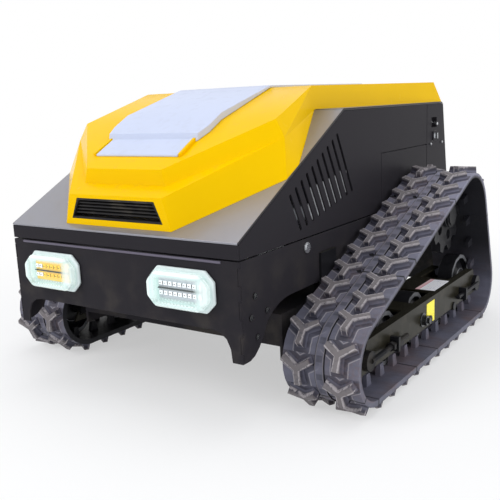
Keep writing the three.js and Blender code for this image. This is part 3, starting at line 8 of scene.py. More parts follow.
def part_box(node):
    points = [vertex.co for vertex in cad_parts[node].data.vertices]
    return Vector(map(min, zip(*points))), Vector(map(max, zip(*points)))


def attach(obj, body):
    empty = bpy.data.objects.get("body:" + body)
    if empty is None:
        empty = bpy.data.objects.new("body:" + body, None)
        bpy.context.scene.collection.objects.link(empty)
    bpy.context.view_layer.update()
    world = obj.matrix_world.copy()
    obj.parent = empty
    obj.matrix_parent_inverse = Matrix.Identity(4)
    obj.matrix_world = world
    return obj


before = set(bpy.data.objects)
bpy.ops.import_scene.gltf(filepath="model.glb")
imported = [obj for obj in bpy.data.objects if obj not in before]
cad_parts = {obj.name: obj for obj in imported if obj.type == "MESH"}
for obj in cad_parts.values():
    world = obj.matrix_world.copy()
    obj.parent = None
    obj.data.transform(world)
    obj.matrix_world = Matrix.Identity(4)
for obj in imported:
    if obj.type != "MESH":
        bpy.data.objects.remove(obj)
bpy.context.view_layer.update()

bl_info = {
    "name": "Slope mower looks",
    "version": (1, 0, 0),
    "blender": (4, 5, 0),
    "location": "View3D > Sidebar > Mower",
    "description": "Dresses the packed slope mower and adds its small fittings",
    "category": "Object",
}

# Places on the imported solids, in metres from the middle of the footprint
HALF_WIDTH = 0.340
FRONT_Y = -0.576
LAMP_X, LAMP_Z = 0.196, 0.293
LENS_HALF_WIDTH, LENS_HALF_HEIGHT = 0.08, 0.039
FRAME_INNER, FRAME_FACE, FRAME_TOP = 0.372, 0.500, 0.150
BELT_CENTRE, BELT_INNER = 0.438, 0.348
KEY_Y, KEY_Z = 0.482, 0.540
SIDES = (("right", 1), ("left", -1))


def srgb(red, green, blue):
    """Linear colour with full alpha, from display values of 0 to 255."""
    def linear(value):
        level = value / 255
        return level / 12.92 if level <= 0.04045 else ((level + 0.055) / 1.055) ** 2.4
    return (linear(red), linear(green), linear(blue), 1.0)


def colour(name, description, value):
    return bpy.props.FloatVectorProperty(
        name=name, description=description, default=value, subtype="COLOR", size=4, min=0, max=1)


def length(name, description, value):
    return bpy.props.FloatProperty(
        name=name, description=description, default=value, min=0, unit="LENGTH", precision=4)


def share(name, description, value, most=1.0):
    return bpy.props.FloatProperty(
        name=name, description=description, default=value, min=0, max=most, subtype="FACTOR")


def power(name, description, value):
    return bpy.props.FloatProperty(
        name=name, description=description, default=value, min=0, unit="POWER")


def count(name, description, value):
    return bpy.props.IntProperty(name=name, description=description, default=value, min=1)


class MowerPaint(bpy.types.PropertyGroup):
    """Colours and gloss of the painted, moulded and bare surfaces."""
    hull: colour("Hull", "Powder coat of the hull and the cover's walls", srgb(43, 41, 45))
    slope: colour("Slope", "Satin grey of the sloped top sheet", srgb(150, 150, 158))
    frames: colour("Track frames", "Olive black of the track frames", srgb(40, 38, 30))
    wheels: colour("Wheels", "Black of the wheels and sprockets", srgb(30, 30, 33))
    hood: colour("Hood", "Yellow of the moulded hood", srgb(250, 200, 2))
    panel: colour("Panel", "Pale centre panel on the hood", srgb(206, 214, 236))
    plastic: colour("Plastic", "Black mouldings such as the grille", srgb(24, 23, 25))
    casting: colour("Casting", "Bare cast metal", srgb(132, 132, 136))
    steel: colour("Steel", "Bare and plated steel", srgb(200, 202, 206))
    battery: colour("Battery", "Case of the battery", srgb(35, 48, 62))
    # The hem colour is a painted highlight, paler than the hull's coat
    hem: colour("Hem", "Rolled edge under the front seam", srgb(104, 99, 112))
    dust: colour("Dust", "Dry dust on low surfaces", srgb(138, 128, 112))
    hull_gloss: share("Hull roughness", "Roughness of the powder coat", 0.42)
    hood_gloss: share("Hood roughness", "Roughness of the moulded hood", 0.2)
    edge: length("Edge radius", "Width of the softened edges of the sheet metal", 0.0012)
    hood_edge: length("Hood edge radius", "Width of the softened edges of the hood", 0.0045)


class MowerTrack(bpy.types.PropertyGroup):
    """Rubber belts: colours and how worn the lugs look."""
    rubber: colour("Rubber", "Colour of the belt between its lugs", srgb(98, 98, 112))
    # The flank colour also serves as the painted shade round each lug
    flank: colour("Flank", "Colour of the lugs' flanks", srgb(52, 50, 60))
    worn: colour("Worn rubber", "Colour of the rubbed lug tips", srgb(130, 124, 124))
    # The crest colour is the painted highlight on the lugs' edges and at the brink of their painted
    # shade
    crest: colour("Crest", "Pale rubbed edges of the lugs", srgb(172, 166, 168))
    mud: colour("Mud", "Brown dust that clings to the belt", srgb(112, 94, 94))
    lug: length("Lug height", "Height of the lugs over the belt", 0.017)
    slit: length("Slit width", "Width of the dark slits across the belt", 0.0045)
    edge: length("Edge radius", "Width of the softened edges of the lugs", 0.0022)


class MowerFittings(bpy.types.PropertyGroup):
    """Bolts and screws."""
    screw: length("Screw radius", "Radius of the small dark screws", 0.0065)
    button: length("Button radius", "Radius of the bright round heads", 0.0125)
    hexagon: length("Hex radius", "Corner radius of the hex heads on the frames", 0.0135)
    washer: length("Washer radius", "Radius of the washers on the frames", 0.018)
    height: length("Head height", "Height of a screw head", 0.0035)


class MowerLamps(bpy.types.PropertyGroup):
    """Front lamps."""
    lens: colour("Lens", "Milky tint of the lens", srgb(226, 243, 240))
    white: colour("White light", "Colour of the white light blocks", srgb(250, 252, 255))
    amber: colour("Amber light", "Colour of the amber light blocks", srgb(255, 208, 34))
    reflector: colour("Reflector", "Plate behind the light blocks", srgb(206, 210, 216))
    columns: count("Columns", "Light blocks in a row", 9)
    block: length("Block width", "Width of one light block", 0.0092)
    height: length("Block height", "Height of one light block", 0.0085)
    glow: share("Glow", "Strength of the light blocks", 0.5, 10.0)
    rim: share("Rim glow", "Light that spreads into the milky lens", 0.2, 10.0)


class MowerLabels(bpy.types.PropertyGroup):
    """Plain stickers without text."""
    paper: colour("Paper", "Pale sticker", srgb(236, 236, 242))
    band: colour("Band", "Red band of the pale sticker", srgb(196, 18, 34))
    yellow: colour("Yellow", "Yellow sticker", srgb(248, 232, 20))
    ink: colour("Ink", "Dark marks on the stickers", srgb(52, 50, 58))
    thickness: length("Thickness", "Thickness of a sticker", 0.0005)


class MowerStudio(bpy.types.PropertyGroup):
    """Light, floor and camera."""
    floor: colour("Floor", "Colour of the floor", srgb(250, 250, 250))
    key: power("Key light", "Power of the large light", 58)
    fill: power("Fill light", "Power of the light from the right", 26)
    top: power("Top light", "Power of the light from above", 30)
    sky: bpy.props.FloatProperty(
        name="Sky", description="Strength of the even light all round", default=0.62, min=0)
    focal: bpy.props.FloatProperty(
        name="Focal length", description="Camera focal length in millimetres", default=51.46, min=1)


def settings():
    return bpy.context.scene.mower


class MowerSettings(bpy.types.PropertyGroup):
    """All the sizes and colours."""
    paint: bpy.props.PointerProperty(type=MowerPaint, name="Paint", description="Paint and metal")
    track: bpy.props.PointerProperty(type=MowerTrack, name="Track", description="Rubber belts")
    fittings: bpy.props.PointerProperty(type=MowerFittings, name="Fittings", description="Bolts")
    lamps: bpy.props.PointerProperty(type=MowerLamps, name="Lamps", description="Front lamps")
    labels: bpy.props.PointerProperty(type=MowerLabels, name="Labels", description="Stickers")
    studio: bpy.props.PointerProperty(type=MowerStudio, name="Studio", description="Light, camera")


# Node maths

class Expr:
    """A value in a node tree. Arithmetic on it adds math nodes."""

    def __init__(self, tree, socket):
        self.tree = tree
        self.socket = socket

    def math(self, operation, *others, clamp=False):
        node = self.tree.nodes.new("ShaderNodeMath")
        node.operation = operation
        node.use_clamp = clamp
        for place, value in zip(node.inputs, (self, *others)):
            if isinstance(value, Expr):
                self.tree.links.new(value.socket, place)
            else:
                place.default_value = value
        return Expr(self.tree, node.outputs[0])

    def __add__(self, other):
        return self.math("ADD", other)

    def __sub__(self, other):
        return self.math("SUBTRACT", other)

    def __mul__(self, other):
        return self.math("MULTIPLY", other)

    def __truediv__(self, other):
        return self.math("DIVIDE", other)

    def __gt__(self, other):
        return self.math("GREATER_THAN", other)

    def __lt__(self, other):
        return self.math("LESS_THAN", other)

    __radd__ = __add__
    __rmul__ = __mul__

    def least(self, other):
        return self.math("MINIMUM", other)

    def most(self, other):
        return self.math("MAXIMUM", other)

    def size(self):
        return self.math("ABSOLUTE")

    def root(self):
        return self.math("SQRT")

    def part(self, step):
        """Share of the way through each step, from 0 to 1."""
        return (self / step).math("FRACT")

    def rise(self, low, high):
        """0 below low, 1 above high and a smooth step between."""
        node = self.tree.nodes.new("ShaderNodeMapRange")
        node.interpolation_type = "SMOOTHSTEP"
        self.tree.links.new(self.socket, node.inputs["Value"])
        node.inputs["From Min"].default_value = low
        node.inputs["From Max"].default_value = high
        return Expr(self.tree, node.outputs["Result"])

    def near(self, centre, width, soft):
        """1 within width of centre, falling to 0 over soft."""
        return 1 - (self - centre).size().rise(width, width + soft)

    def __rsub__(self, other):
        return self.math("MULTIPLY_ADD", -1.0, other)


class Surface:
    """A material with one Principled shader, whose inputs take numbers, colours or Exprs."""

    def __init__(self, name, base, **values):
        self.material = bpy.data.materials.new(name)
        self.material.use_nodes = True
        self.tree = self.material.node_tree
        self.shader = self.tree.nodes["Principled BSDF"]
        self.base = base
        self.shader.inputs["Base Color"].default_value = base
        for key, value in values.items():
            self.shader.inputs[key.replace("_", " ")].default_value = value
        coordinates = self.tree.nodes.new("ShaderNodeTexCoord")
        self.place = coordinates.outputs["Object"]
        split = self.tree.nodes.new("ShaderNodeSeparateXYZ")
        self.tree.links.new(self.place, split.inputs[0])
        self.x, self.y, self.z = (Expr(self.tree, out) for out in split.outputs)

    def stretched(self, stretch):
        node = self.tree.nodes.new("ShaderNodeMapping")
        node.inputs["Scale"].default_value = stretch
        self.tree.links.new(self.place, node.inputs["Vector"])
        return node.outputs[0]

    def noise(self, scale, detail=3.0, stretch=None):
        node = self.tree.nodes.new("ShaderNodeTexNoise")
        node.inputs["Scale"].default_value = scale
        node.inputs["Detail"].default_value = detail
        place = self.stretched(stretch) if stretch else self.place
        self.tree.links.new(place, node.inputs["Vector"])
        return Expr(self.tree, node.outputs[0])

    def cells(self, scale):
        node = self.tree.nodes.new("ShaderNodeTexVoronoi")
        node.inputs["Scale"].default_value = scale
        self.tree.links.new(self.place, node.inputs["Vector"])
        return Expr(self.tree, node.outputs["Distance"])

    def upward(self):
        """How much the surface faces up, from -1 to 1."""
        node = self.tree.nodes.new("ShaderNodeNewGeometry")
        split = self.tree.nodes.new("ShaderNodeSeparateXYZ")
        self.tree.links.new(node.outputs["Normal"], split.inputs[0])
        return Expr(self.tree, split.outputs[2])

    def coat(self, *layers):
        """Base colour with colours laid over it, each as (colour, share of cover)."""
        under = None
        for top, cover in layers:
            node = self.tree.nodes.new("ShaderNodeMix")
            node.data_type = "RGBA"
            self.tree.links.new(cover.socket, node.inputs[0])
            if under is None:
                node.inputs[6].default_value = self.base
            else:
                self.tree.links.new(under, node.inputs[6])
            node.inputs[7].default_value = top
            under = node.outputs[2]
        self.tree.links.new(under, self.shader.inputs["Base Color"])

    def vary(self, name, value):
        self.tree.links.new(value.socket, self.shader.inputs[name])
        return self

    def bump(self, height, distance, strength=0.4):
        node = self.tree.nodes.new("ShaderNodeBump")
        node.inputs["Strength"].default_value = strength
        node.inputs["Distance"].default_value = distance
        self.tree.links.new(height.socket, node.inputs["Height"])
        self.tree.links.new(node.outputs[0], self.shader.inputs["Normal"])
        return self


def shade(base, amount):
    """The colour made darker (below 1) or lighter (above 1)."""
    return tuple(min(channel * amount, 1) for channel in base[:3]) + (1.0,)


def powder_coat(name, base, gloss):
    """Satin powder coat: orange peel, faint clouding and dry dust near the ground."""
    surface = Surface(name, base, Roughness=gloss, Specular_IOR_Level=0.04)
    clouds = surface.noise(5.0)
    peel = surface.noise(900.0, 1.0)
    scuffs = surface.noise(60.0, 5.0, (0.3, 1.0, 3.0)).rise(0.6, 0.78)
    dust = surface.noise(14.0, 5.0).rise(0.42, 0.75) * (1 - surface.z.rise(0.1, 0.42)) * 0.16
    surface.coat((shade(base, 1.25), clouds * 0.5), (shade(base, 1.6), scuffs * 0.18),
                 (settings().paint.dust, dust))
    surface.vary("Roughness", clouds * 0.1 + scuffs * 0.12 + (gloss - 0.05))
    return surface.bump(peel, 0.0002, 0.25).material


def gritty_frame(name, base):
    """Satin paint with black anti-slip grit on the upper faces and black outside the two plates."""
    surface = Surface(name, base, Roughness=0.36, Specular_IOR_Level=0.1)
    grit = surface.noise(620.0, 4.0)
    top = surface.upward().rise(0.8, 0.95) * surface.z.rise(FRAME_TOP - 0.005, FRAME_TOP)
    away = surface.x.size()
    black = away.rise(FRAME_FACE + 0.0003, FRAME_FACE + 0.0008)
    black = black.most(1 - away.rise(FRAME_INNER, FRAME_INNER + 0.0015))
    clouds = surface.noise(7.0)
    dust = surface.noise(30.0, 5.0).rise(0.45, 0.75) * 0.1
    surface.coat((shade(base, 1.35), clouds * 0.6), (settings().paint.dust, dust),
                 (settings().paint.wheels, black), (shade(base, 0.6), top * 0.9),
                 (shade(base, 3.0), top * grit.rise(0.5, 0.66) * 0.6))
    surface.vary("Roughness", top * 0.4 + clouds * 0.12 + 0.26)
    return surface.bump(top * grit, 0.001, 0.8).material


def rubbed_wheel(name, base):
    """Painted wheel with rubbed bright rim faces beside the guide lugs."""
    surface = Surface(name, base, Roughness=0.4, Specular_IOR_Level=0.3)
    rim = (surface.x.size() - BELT_CENTRE).size().near(RIM_FACE, 0.0003, 0.0003)
    wear = surface.noise(40.0, 4.0).rise(0.35, 0.6)
    surface.coat((shade(base, 1.5), wear * 0.4), (settings().paint.steel, rim * 0.75))
    surface.vary("Metallic", rim * 0.7)
    surface.vary("Roughness", wear * 0.15 + 0.28)
    return surface.bump(wear, 0.0003, 0.3).material


def satin_sheet(name, base):
    """Satin grey sheet with a rolled grain along the machine and painted folds at its sides."""
    surface = Surface(name, base, Roughness=0.36, Metallic=0.55)
    grain = surface.noise(160.0, 4.0, (1.0, 0.05, 1.0))
    clouds = surface.noise(3.5)
    dust = surface.noise(22.0, 5.0).rise(0.5, 0.8) * 0.14
    folded = surface.x.size().rise(HALF_WIDTH - 0.0022, HALF_WIDTH - 0.0018)
    surface.coat((shade(base, 0.86), clouds), (shade(base, 1.1), grain * 0.4),
                 (settings().paint.dust, dust), (settings().paint.hull, folded))
    surface.vary("Roughness", grain * 0.14 + clouds * 0.06 + 0.26)
    return surface.bump(grain, 0.0002, 0.2).material


def moulding(name, base, gloss):
    """Gloss moulding: clear top layer, faint waviness and fine dust on the upper faces."""
    surface = Surface(
        name, base, Roughness=gloss, Specular_IOR_Level=0.03, Coat_Weight=0.02, Coat_Roughness=0.1)
    waves = surface.noise(7.0, 2.0)
    haze = surface.noise(45.0, 6.0).rise(0.5, 0.8)
    dust = haze * surface.upward().rise(0.5, 1.0) * 0.1
    surface.coat((shade(base, 0.94), waves), (settings().paint.dust, dust))
    surface.vary("Roughness", haze * 0.1 + waves * 0.05 + (gloss - 0.03))
    return surface.bump(waves, 0.0006, 0.12).material


def matt_plastic(name, base):
    """Matt moulding with a fine leather grain."""
    surface = Surface(name, base, Roughness=0.55, Specular_IOR_Level=0.25)
    grain = surface.cells(650.0)
    dust = surface.noise(24.0, 5.0).rise(0.45, 0.8) * 0.22
    surface.coat((shade(base, 1.5), grain * 0.3), (settings().paint.dust, dust))
    surface.vary("Roughness", grain * 0.2 + 0.45)
    return surface.bump(grain, 0.0003, 0.3).material


def casting(name, base):
    """Bare sand casting."""
    surface = Surface(name, base, Roughness=0.55, Metallic=0.7)
    sand = surface.noise(420.0, 4.0)
    stain = surface.noise(18.0, 5.0).rise(0.45, 0.7)
    surface.coat((shade(base, 0.55), stain * 0.5), (settings().paint.dust, sand * 0.15))
    surface.vary("Roughness", sand * 0.3 + 0.38)
    return surface.bump(sand, 0.0006, 0.5).material


def bare_steel(name, base):
    """Machined or plated steel with fine turning marks."""
    surface = Surface(name, base, Roughness=0.28, Metallic=0.95)
    marks = surface.noise(500.0, 3.0, (1.0, 0.12, 1.0))
    stain = surface.noise(30.0, 5.0).rise(0.5, 0.78)
    surface.coat((shade(base, 0.6), stain * 0.6), (shade(base, 1.15), marks * 0.4))
    surface.vary("Roughness", marks * 0.2 + stain * 0.15 + 0.16)
    return surface.bump(marks, 0.0001, 0.3).material


# The belt's pitch line runs round three wheels: (y, z, pitch radius)
BELT_WHEELS = ((-0.348, 0.113, 0.0895), (0.385, 0.113, 0.0895), (0.285, 0.328, 0.1146))
HALF_CARCASS = 0.0065
LINKS = 31
BAND_HALF = 0.0112
BAND_MARK = 0.0062
# Two columns of lugs, each this far from the belt's middle. An arm is (degrees, length)
LUG_COLUMN = 0.047
LUG_PHASE = 0.564
LUG_ARMS = ((30, 0.040), (150, 0.036), (268, 0.036))
# Distances from an arm's middle line: pale painted highlight lines at the crest and the foot,
# painted shade round the lug out to the pocket, and a pale painted line at the brink
LUG_CREST, LUG_FOOT, LUG_POCKET, LUG_BRINK = 0.0062, 0.0128, 0.0165, 0.0205
# Distance of a wheel's bright rim faces from the belt's middle
RIM_FACE = 0.0214


def belt_lines():
    """Straight stretches of the pitch line, each as start, direction, outward normal and length."""
    lines = []
    for i, (y, z, radius) in enumerate(BELT_WHEELS):
        y2, z2, radius2 = BELT_WHEELS[(i + 1) % len(BELT_WHEELS)]
        distance = math.hypot(y2 - y, z2 - z)
        angle = math.atan2(z2 - z, y2 - y) - math.pi / 2 + math.asin((radius - radius2) / distance)
        normal = (math.cos(angle), math.sin(angle))
        start = (y + radius * normal[0], z + radius * normal[1])
        end = (y2 + radius2 * normal[0], z2 + radius2 * normal[1])
        run = math.hypot(end[0] - start[0], end[1] - start[1])
        along = ((end[0] - start[0]) / run, (end[1] - start[1]) / run)
        lines.append((start, along, normal, run))
    return lines


def along_belt(surface):
    """How far a point is outside the belt's pitch line and how far along it, in metres."""
    lines = belt_lines()
    total = travelled = cover = nearest = None
    offset = 0.0
    arcs = []
    for i, (start, along, normal, run) in enumerate(lines):
        dy, dz = surface.y - start[0], surface.z - start[1]
        travel = dy * along[0] + dz * along[1]
        height = dy * normal[0] + dz * normal[1]
        inside = (travel > 0.0) * (travel < run) * (height > -0.05)
        total = inside * height if total is None else total + inside * height
        here = inside * (travel + offset)
        travelled = here if travelled is None else travelled + here
        cover = inside if cover is None else cover + inside
        offset += run
        y, z, radius = BELT_WHEELS[(i + 1) % len(BELT_WHEELS)]
        first = math.atan2(normal[1], normal[0])
        following = lines[(i + 1) % len(lines)][2]
        turn = (math.atan2(following[1], following[0]) - first) % (2 * math.pi)
        dy, dz = surface.y - y, surface.z - z
        gap = (dy * dy + dz * dz).root() - radius
        angle = ((dz.math("ARCTAN2", dy) - first) / (2 * math.pi)).math("FRACT") * (2 * math.pi)
        arcs.append((gap, angle * radius + offset))
        nearest = gap if nearest is None else nearest.least(gap)
        offset += turn * radius
    cover = cover.least(1.0)
    curved = None
    for gap, travel in arcs:
        part = (gap < nearest + 0.0001) * travel
        curved = part if curved is None else curved + part
    return total + (1 - cover) * nearest, travelled + (1 - cover) * curved, offset


def lug_gap(surface, places, link):
    """How far a point is from the middle line of the nearest arm of its tread lug, in metres."""
    side = surface.x.size() - BELT_CENTRE
    u = side.size() - LUG_COLUMN
    v = ((LUG_PHASE + (side < 0.0) * 0.5 - places + 0.6).math("FRACT") - 0.6) * link
    nearest = None
    for turn, length in LUG_ARMS:
        along = u * math.cos(math.radians(turn)) + v * math.sin(math.radians(turn))
        reach = along.most(0.0).least(length)
        gap = u * u + v * v - reach * (along * 2.0 - reach)
        nearest = gap if nearest is None else nearest.least(gap)
    return nearest.most(0.0).root()


def belt_rubber():
    """Worn rubber: pale lug tips with painted shade round them and painted highlight lines on their
    edges, brown dust, slits, a band, a painted lighter upper run and painted shadow on the inside.
    """
    track = settings().track
    surface = Surface("track_rubber", track.rubber, Roughness=0.62, Specular_IOR_Level=0.3)
    height, travel, loop = along_belt(surface)
    across = (surface.x.size() - BELT_CENTRE).size()
    patches = surface.noise(9.0, 5.0)
    fine = surface.noise(160.0, 5.0)
    top = HALF_CARCASS + track.lug
    flank = height.rise(HALF_CARCASS, top * 0.7)
    tip = height.rise(top - 0.0045, top - 0.001) * (patches * 0.4 + fine * 0.8).rise(0.25, 0.6)
    mud = patches.rise(0.42, 0.7) * fine.rise(0.3, 0.7) * 0.55
    outer = height.rise(HALF_CARCASS - 0.003, HALF_CARCASS) * (1 - height.rise(0.012, 0.014))
    edge_line = across.near(BAND_HALF, 0.0007, 0.0006) * outer
    rubbed_line = across.near(BAND_HALF - 0.0017, 0.0005, 0.0008) * outer
    link = loop / LINKS
    places = travel / link
    wobble = (surface.noise(45.0, 2.0) - 0.5) * 0.09
    crack = (places + wobble + 0.5).part(1.0).near(0.5, track.slit / link / 2, 0.008)
    chosen = ((places + 0.5) / 5).math("FRACT").near(0.1, 0.1, 0.001)
    chosen = chosen.most(((places + 0.5) / 7).math("FRACT").near(0.5, 0.0714, 0.001))
    slit = crack * chosen * (1 - height.rise(0.011, 0.013))
    marks = places.part(0.5).near(0.5, 0.16, 0.04) * across.near(0.0, BAND_MARK, 0.001)
    marks = marks * height.rise(0.008, 0.0085) * (1 - height.rise(0.0105, 0.012))
    streaks = surface.noise(70.0, 3.0, (0.25, 1.0, 1.0)).rise(0.35, 0.75)
    pale = surface.noise(16.0, 4.0).rise(0.45, 0.7) * 0.6
    gap = lug_gap(surface, places, link) + (fine - 0.5) * 0.0016
    low = outer * (1 - height.rise(HALF_CARCASS, HALF_CARCASS + 0.003))
    # Painted shade in a ring round each lug on the flat belt, full out to LUG_POCKET and gone at
    # LUG_BRINK
    pocket_shade = (1 - gap.rise(LUG_POCKET, LUG_BRINK)) * low
    # Pale line at the outer edge of that shade: a painted highlight
    brink_highlight = gap.near(LUG_BRINK, 0.0004, 0.0014) * low
    # Pale patchy lines along the lugs' edges at the crest and the foot: painted highlights
    crest = gap.near(LUG_CREST, 0.0006, 0.0012).most(gap.near(LUG_FOOT, 0.0003, 0.001) * 0.5)
    crest = crest * height.rise(HALF_CARCASS + 0.001, top - 0.006) * fine.rise(0.3, 0.55)
    inner = 1 - height.rise(-HALF_CARCASS, 0.0)
    # Painted shadow: the belts' inner face above the low run, all of the left belt's inner face and
    # the left belt's edge beside the hull
    far = surface.x < 0.0
    edge_shadow = (1 - surface.x.size().rise(BELT_INNER + 0.0002, BELT_INNER + 0.002)) * far
    shadow = (inner * surface.z.rise(0.05, 0.24).most(far)).most(edge_shadow)
    brown = inner * (1 - surface.z.rise(0.03, 0.09)) * patches.rise(0.35, 0.6)
    lit = outer.most(height > 0.0) * surface.z.rise(0.27, 0.42) * 0.8
    surface.coat((shade(track.rubber, 1.4), pale), (shade(track.rubber, 2.0), lit),
                 (track.flank, flank * 0.9), (track.flank, pocket_shade * 0.8),
                 (track.mud, mud.most(brown * 0.7)), (shade(track.rubber, 1.9), streaks * 0.2),
                 (track.worn, (tip * 0.7).most(rubbed_line * 0.6)),
                 (track.crest, crest.most(brink_highlight * 0.6)),
                 (shade(track.rubber, 0.4), marks * 0.6),
                 (shade(track.rubber, 0.06), shadow * 0.95),
                 (shade(track.rubber, 0.12), slit.most(edge_line)))
    surface.vary("Roughness", fine * 0.25 + patches * 0.2 + 0.34)
    relief = fine * 0.5 + patches * 0.3 - edge_line - slit * 3.0 - marks * 0.8
    return surface.bump(relief, 0.0012, 0.6).material


def lamp_lens():
    """Clear moulding, milky at its rim, with ribs along its lower edge."""
    lamps = settings().lamps
    surface = Surface("lamp_lens", lamps.lens, Roughness=0.08, Coat_Weight=0.8, IOR=1.45)
    across = (surface.x.size() - LAMP_X).size() / LENS_HALF_WIDTH
    upright = (surface.z - LAMP_Z).size() / LENS_HALF_HEIGHT
    outward = across.most(upright)
    rim = outward.rise(0.62, 0.8)
    glass = outward.near(0.78, 0.03, 0.05)
    foot = 1 - surface.z.rise(LAMP_Z - 0.027, LAMP_Z - 0.017)
    ribs = surface.x.part(0.009).near(0.5, 0.16, 0.14) * foot
    surface.vary("Alpha", rim * 0.62 + ribs * 0.2 + 0.1)
    surface.coat((srgb(244, 255, 252), rim), (shade(lamps.lens, 0.62), ribs * 0.7),
                 (srgb(196, 226, 222), glass * 0.6))
    surface.shader.inputs["Emission Color"].default_value = srgb(232, 255, 250)
    surface.shader.inputs["Emission Strength"].default_value = lamps.rim
    return surface.bump(ribs, 0.0006, 0.4).material


def glowing(name, base, strength):
    """Surface that gives off light in spots: the lamps' light blocks, and a painted highlight on
    plated metal.
    """
    surface = Surface(name, base, Roughness=0.3, Emission_Strength=strength)
    node = surface.tree.nodes.new("ShaderNodeMix")
    node.data_type = "RGBA"
    spots = surface.noise(260.0, 2.0)
    surface.tree.links.new(spots.socket, node.inputs[0])
    node.inputs[6].default_value = shade(base, 0.7)
    node.inputs[7].default_value = base
    surface.tree.links.new(node.outputs[2], surface.shader.inputs["Emission Color"])
    surface.coat((shade(base, 0.8), spots))
    return surface.material


def sticker(name, base, marks):
    """Plain sticker that glows a little in its own colour, painted light that lifts it out of the
    shade; marks is a function of the surface that gives its layers.
    """
    surface = Surface(name, base, Roughness=0.4, Coat_Weight=0.2, Emission_Strength=0.3)
    surface.shader.inputs["Emission Color"].default_value = base
    dirt = surface.noise(90.0, 5.0).rise(0.5, 0.8)
    surface.coat((shade(base, 0.85), dirt * 0.5), *marks(surface))
    return surface.vary("Roughness", dirt * 0.2 + 0.34).material


# Modelling

def only(*objects):
    bpy.ops.object.select_all(action="DESELECT")
    for item in objects:
        item.select_set(True)
    bpy.context.view_layer.objects.active = objects[0]


def box(low, high):
    middle = [(a + b) / 2 for a, b in zip(low, high)]
    size = [b - a for a, b in zip(low, high)]
    bpy.ops.mesh.primitive_cube_add(size=1, location=middle, scale=size)
    return bpy.context.object


def side_box(sign, x, y, z):
    """Box between two places each way, on the side of the machine that sign gives."""
    low, high = sorted(sign * place for place in x)
    return box((low, y[0], z[0]), (high, y[1], z[1]))


TURNS = {"x": (0, math.pi / 2, 0), "y": (math.pi / 2, 0, 0), "z": (0, 0, 0)}


def disc(centre, axis, radius, depth, sides=24):
    bpy.ops.mesh.primitive_cylinder_add(
        vertices=sides, radius=radius, depth=depth, location=centre, rotation=TURNS[axis])
    return bpy.context.object


def settle(objects, name, body, material, edge=0.0):
    """Joins the objects into one piece at the origin, softens its edges and lets it ride."""
    only(*objects)
    if len(objects) > 1:
        bpy.ops.object.join()
    piece = bpy.context.object
    bpy.ops.object.transform_apply(location=True, rotation=True, scale=True)
    piece.name = piece.data.name = name
    piece.data.materials.clear()
    piece.data.materials.append(material)
    if edge:
        soften(piece, edge)
    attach(piece, body)
    return piece


def soften(item, edge, angle=35):
    """Rounded edges whose faces stay flat."""
    only(item)
    bpy.ops.object.shade_smooth_by_angle(angle=math.radians(angle))
    bevel = item.modifiers.new("edges", "BEVEL")
    bevel.width = edge
    bevel.segments = 2
    bevel.limit_method = "ANGLE"
    bevel.angle_limit = math.radians(angle)
    bevel.harden_normals = True


def weld(item):
    """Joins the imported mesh's corners and its flat faces, before its edges are rounded."""
    only(item)
    if item.data.has_custom_normals:
        bpy.ops.mesh.customdata_custom_splitnormals_clear()
    joiner = item.modifiers.new("corners", "WELD")
    joiner.merge_threshold = 0.00002
    faces = item.modifiers.new("faces", "DECIMATE")
    faces.decimate_type = "DISSOLVE"
    faces.angle_limit = math.radians(0.4)


def dress(names, material, edge=0.0, angle=35):
    for name in names:
        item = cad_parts[name]
        item.data.materials.clear()
        item.data.materials.append(material)
        if edge:
            weld(item)
            soften(item, edge, angle)


def both(*stems):
    return [f"{stem}_{side}" for stem in stems for side, _ in SIDES]


class MOWER_OT_dress_hull(bpy.types.Operator):
    """Paint the hull, the cover's walls and the sloped sheet, and lay skins on its level top"""
    bl_idname = "mower.dress_hull"
    bl_label = "Dress the hull"

    # Skin on each side of the sheet's level top, which narrows to the rear
    skin_inner, skin_outer, skin_rear = 0.262, 0.3395, 0.3372
    skin_y = (-0.1185, 0.548)
    skin_z = (0.6403, 0.6415)

    def skin(self, sign):
        skin = side_box(sign, (self.skin_inner, self.skin_outer), self.skin_y, self.skin_z)
        only(skin)
        bpy.ops.object.transform_apply(location=True, rotation=True, scale=True)
        middle = (self.skin_inner + self.skin_outer) / 2
        for corner in skin.data.vertices:
            if corner.co.y > 0 and abs(corner.co.x) < middle:
                corner.co.x = sign * self.skin_rear
        return skin

    def execute(self, context):
        paint = settings().paint
        coat = powder_coat("hull_coat", paint.hull, paint.hull_gloss)
        coated = ["front_plate", "floor_plate", "rear_plate", "cover_lip"]
        coated += ["deck_shell", "lift_actuator"] + both("hinge_bracket", "hinge_leaf")
        coated += both("side_plate", "pillar", "cover_side", "access_cover")
        dress(coated, coat, paint.edge)
        sheet = satin_sheet("slope_sheet", paint.slope)
        dress(["slope_panel"], sheet, paint.edge)
        for side, sign in SIDES:
            settle([self.skin(sign)], f"top_skin_{side}", "cover", sheet, 0.0004)
        return {"FINISHED"}


class MOWER_OT_dress_hood(bpy.types.Operator):
    """Give the hood, its panel and its grille their mouldings"""
    bl_idname = "mower.dress_hood"
    bl_label = "Dress the hood"

    # Facets that meet at less than this many degrees are shown as one
    flattest = 7

    def execute(self, context):
        paint = settings().paint
        dress(["hood"], moulding("hood_yellow", paint.hood, paint.hood_gloss), paint.hood_edge, 20)
        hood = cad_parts["hood"]
        hood.modifiers["faces"].angle_limit = math.radians(self.flattest)
        dress(["centre_panel"], moulding("panel_pale", paint.panel, 0.3), paint.hood_edge / 3)
        dress(["hood_grille"], matt_plastic("grille_black", paint.plastic), paint.edge / 3)
        return {"FINISHED"}


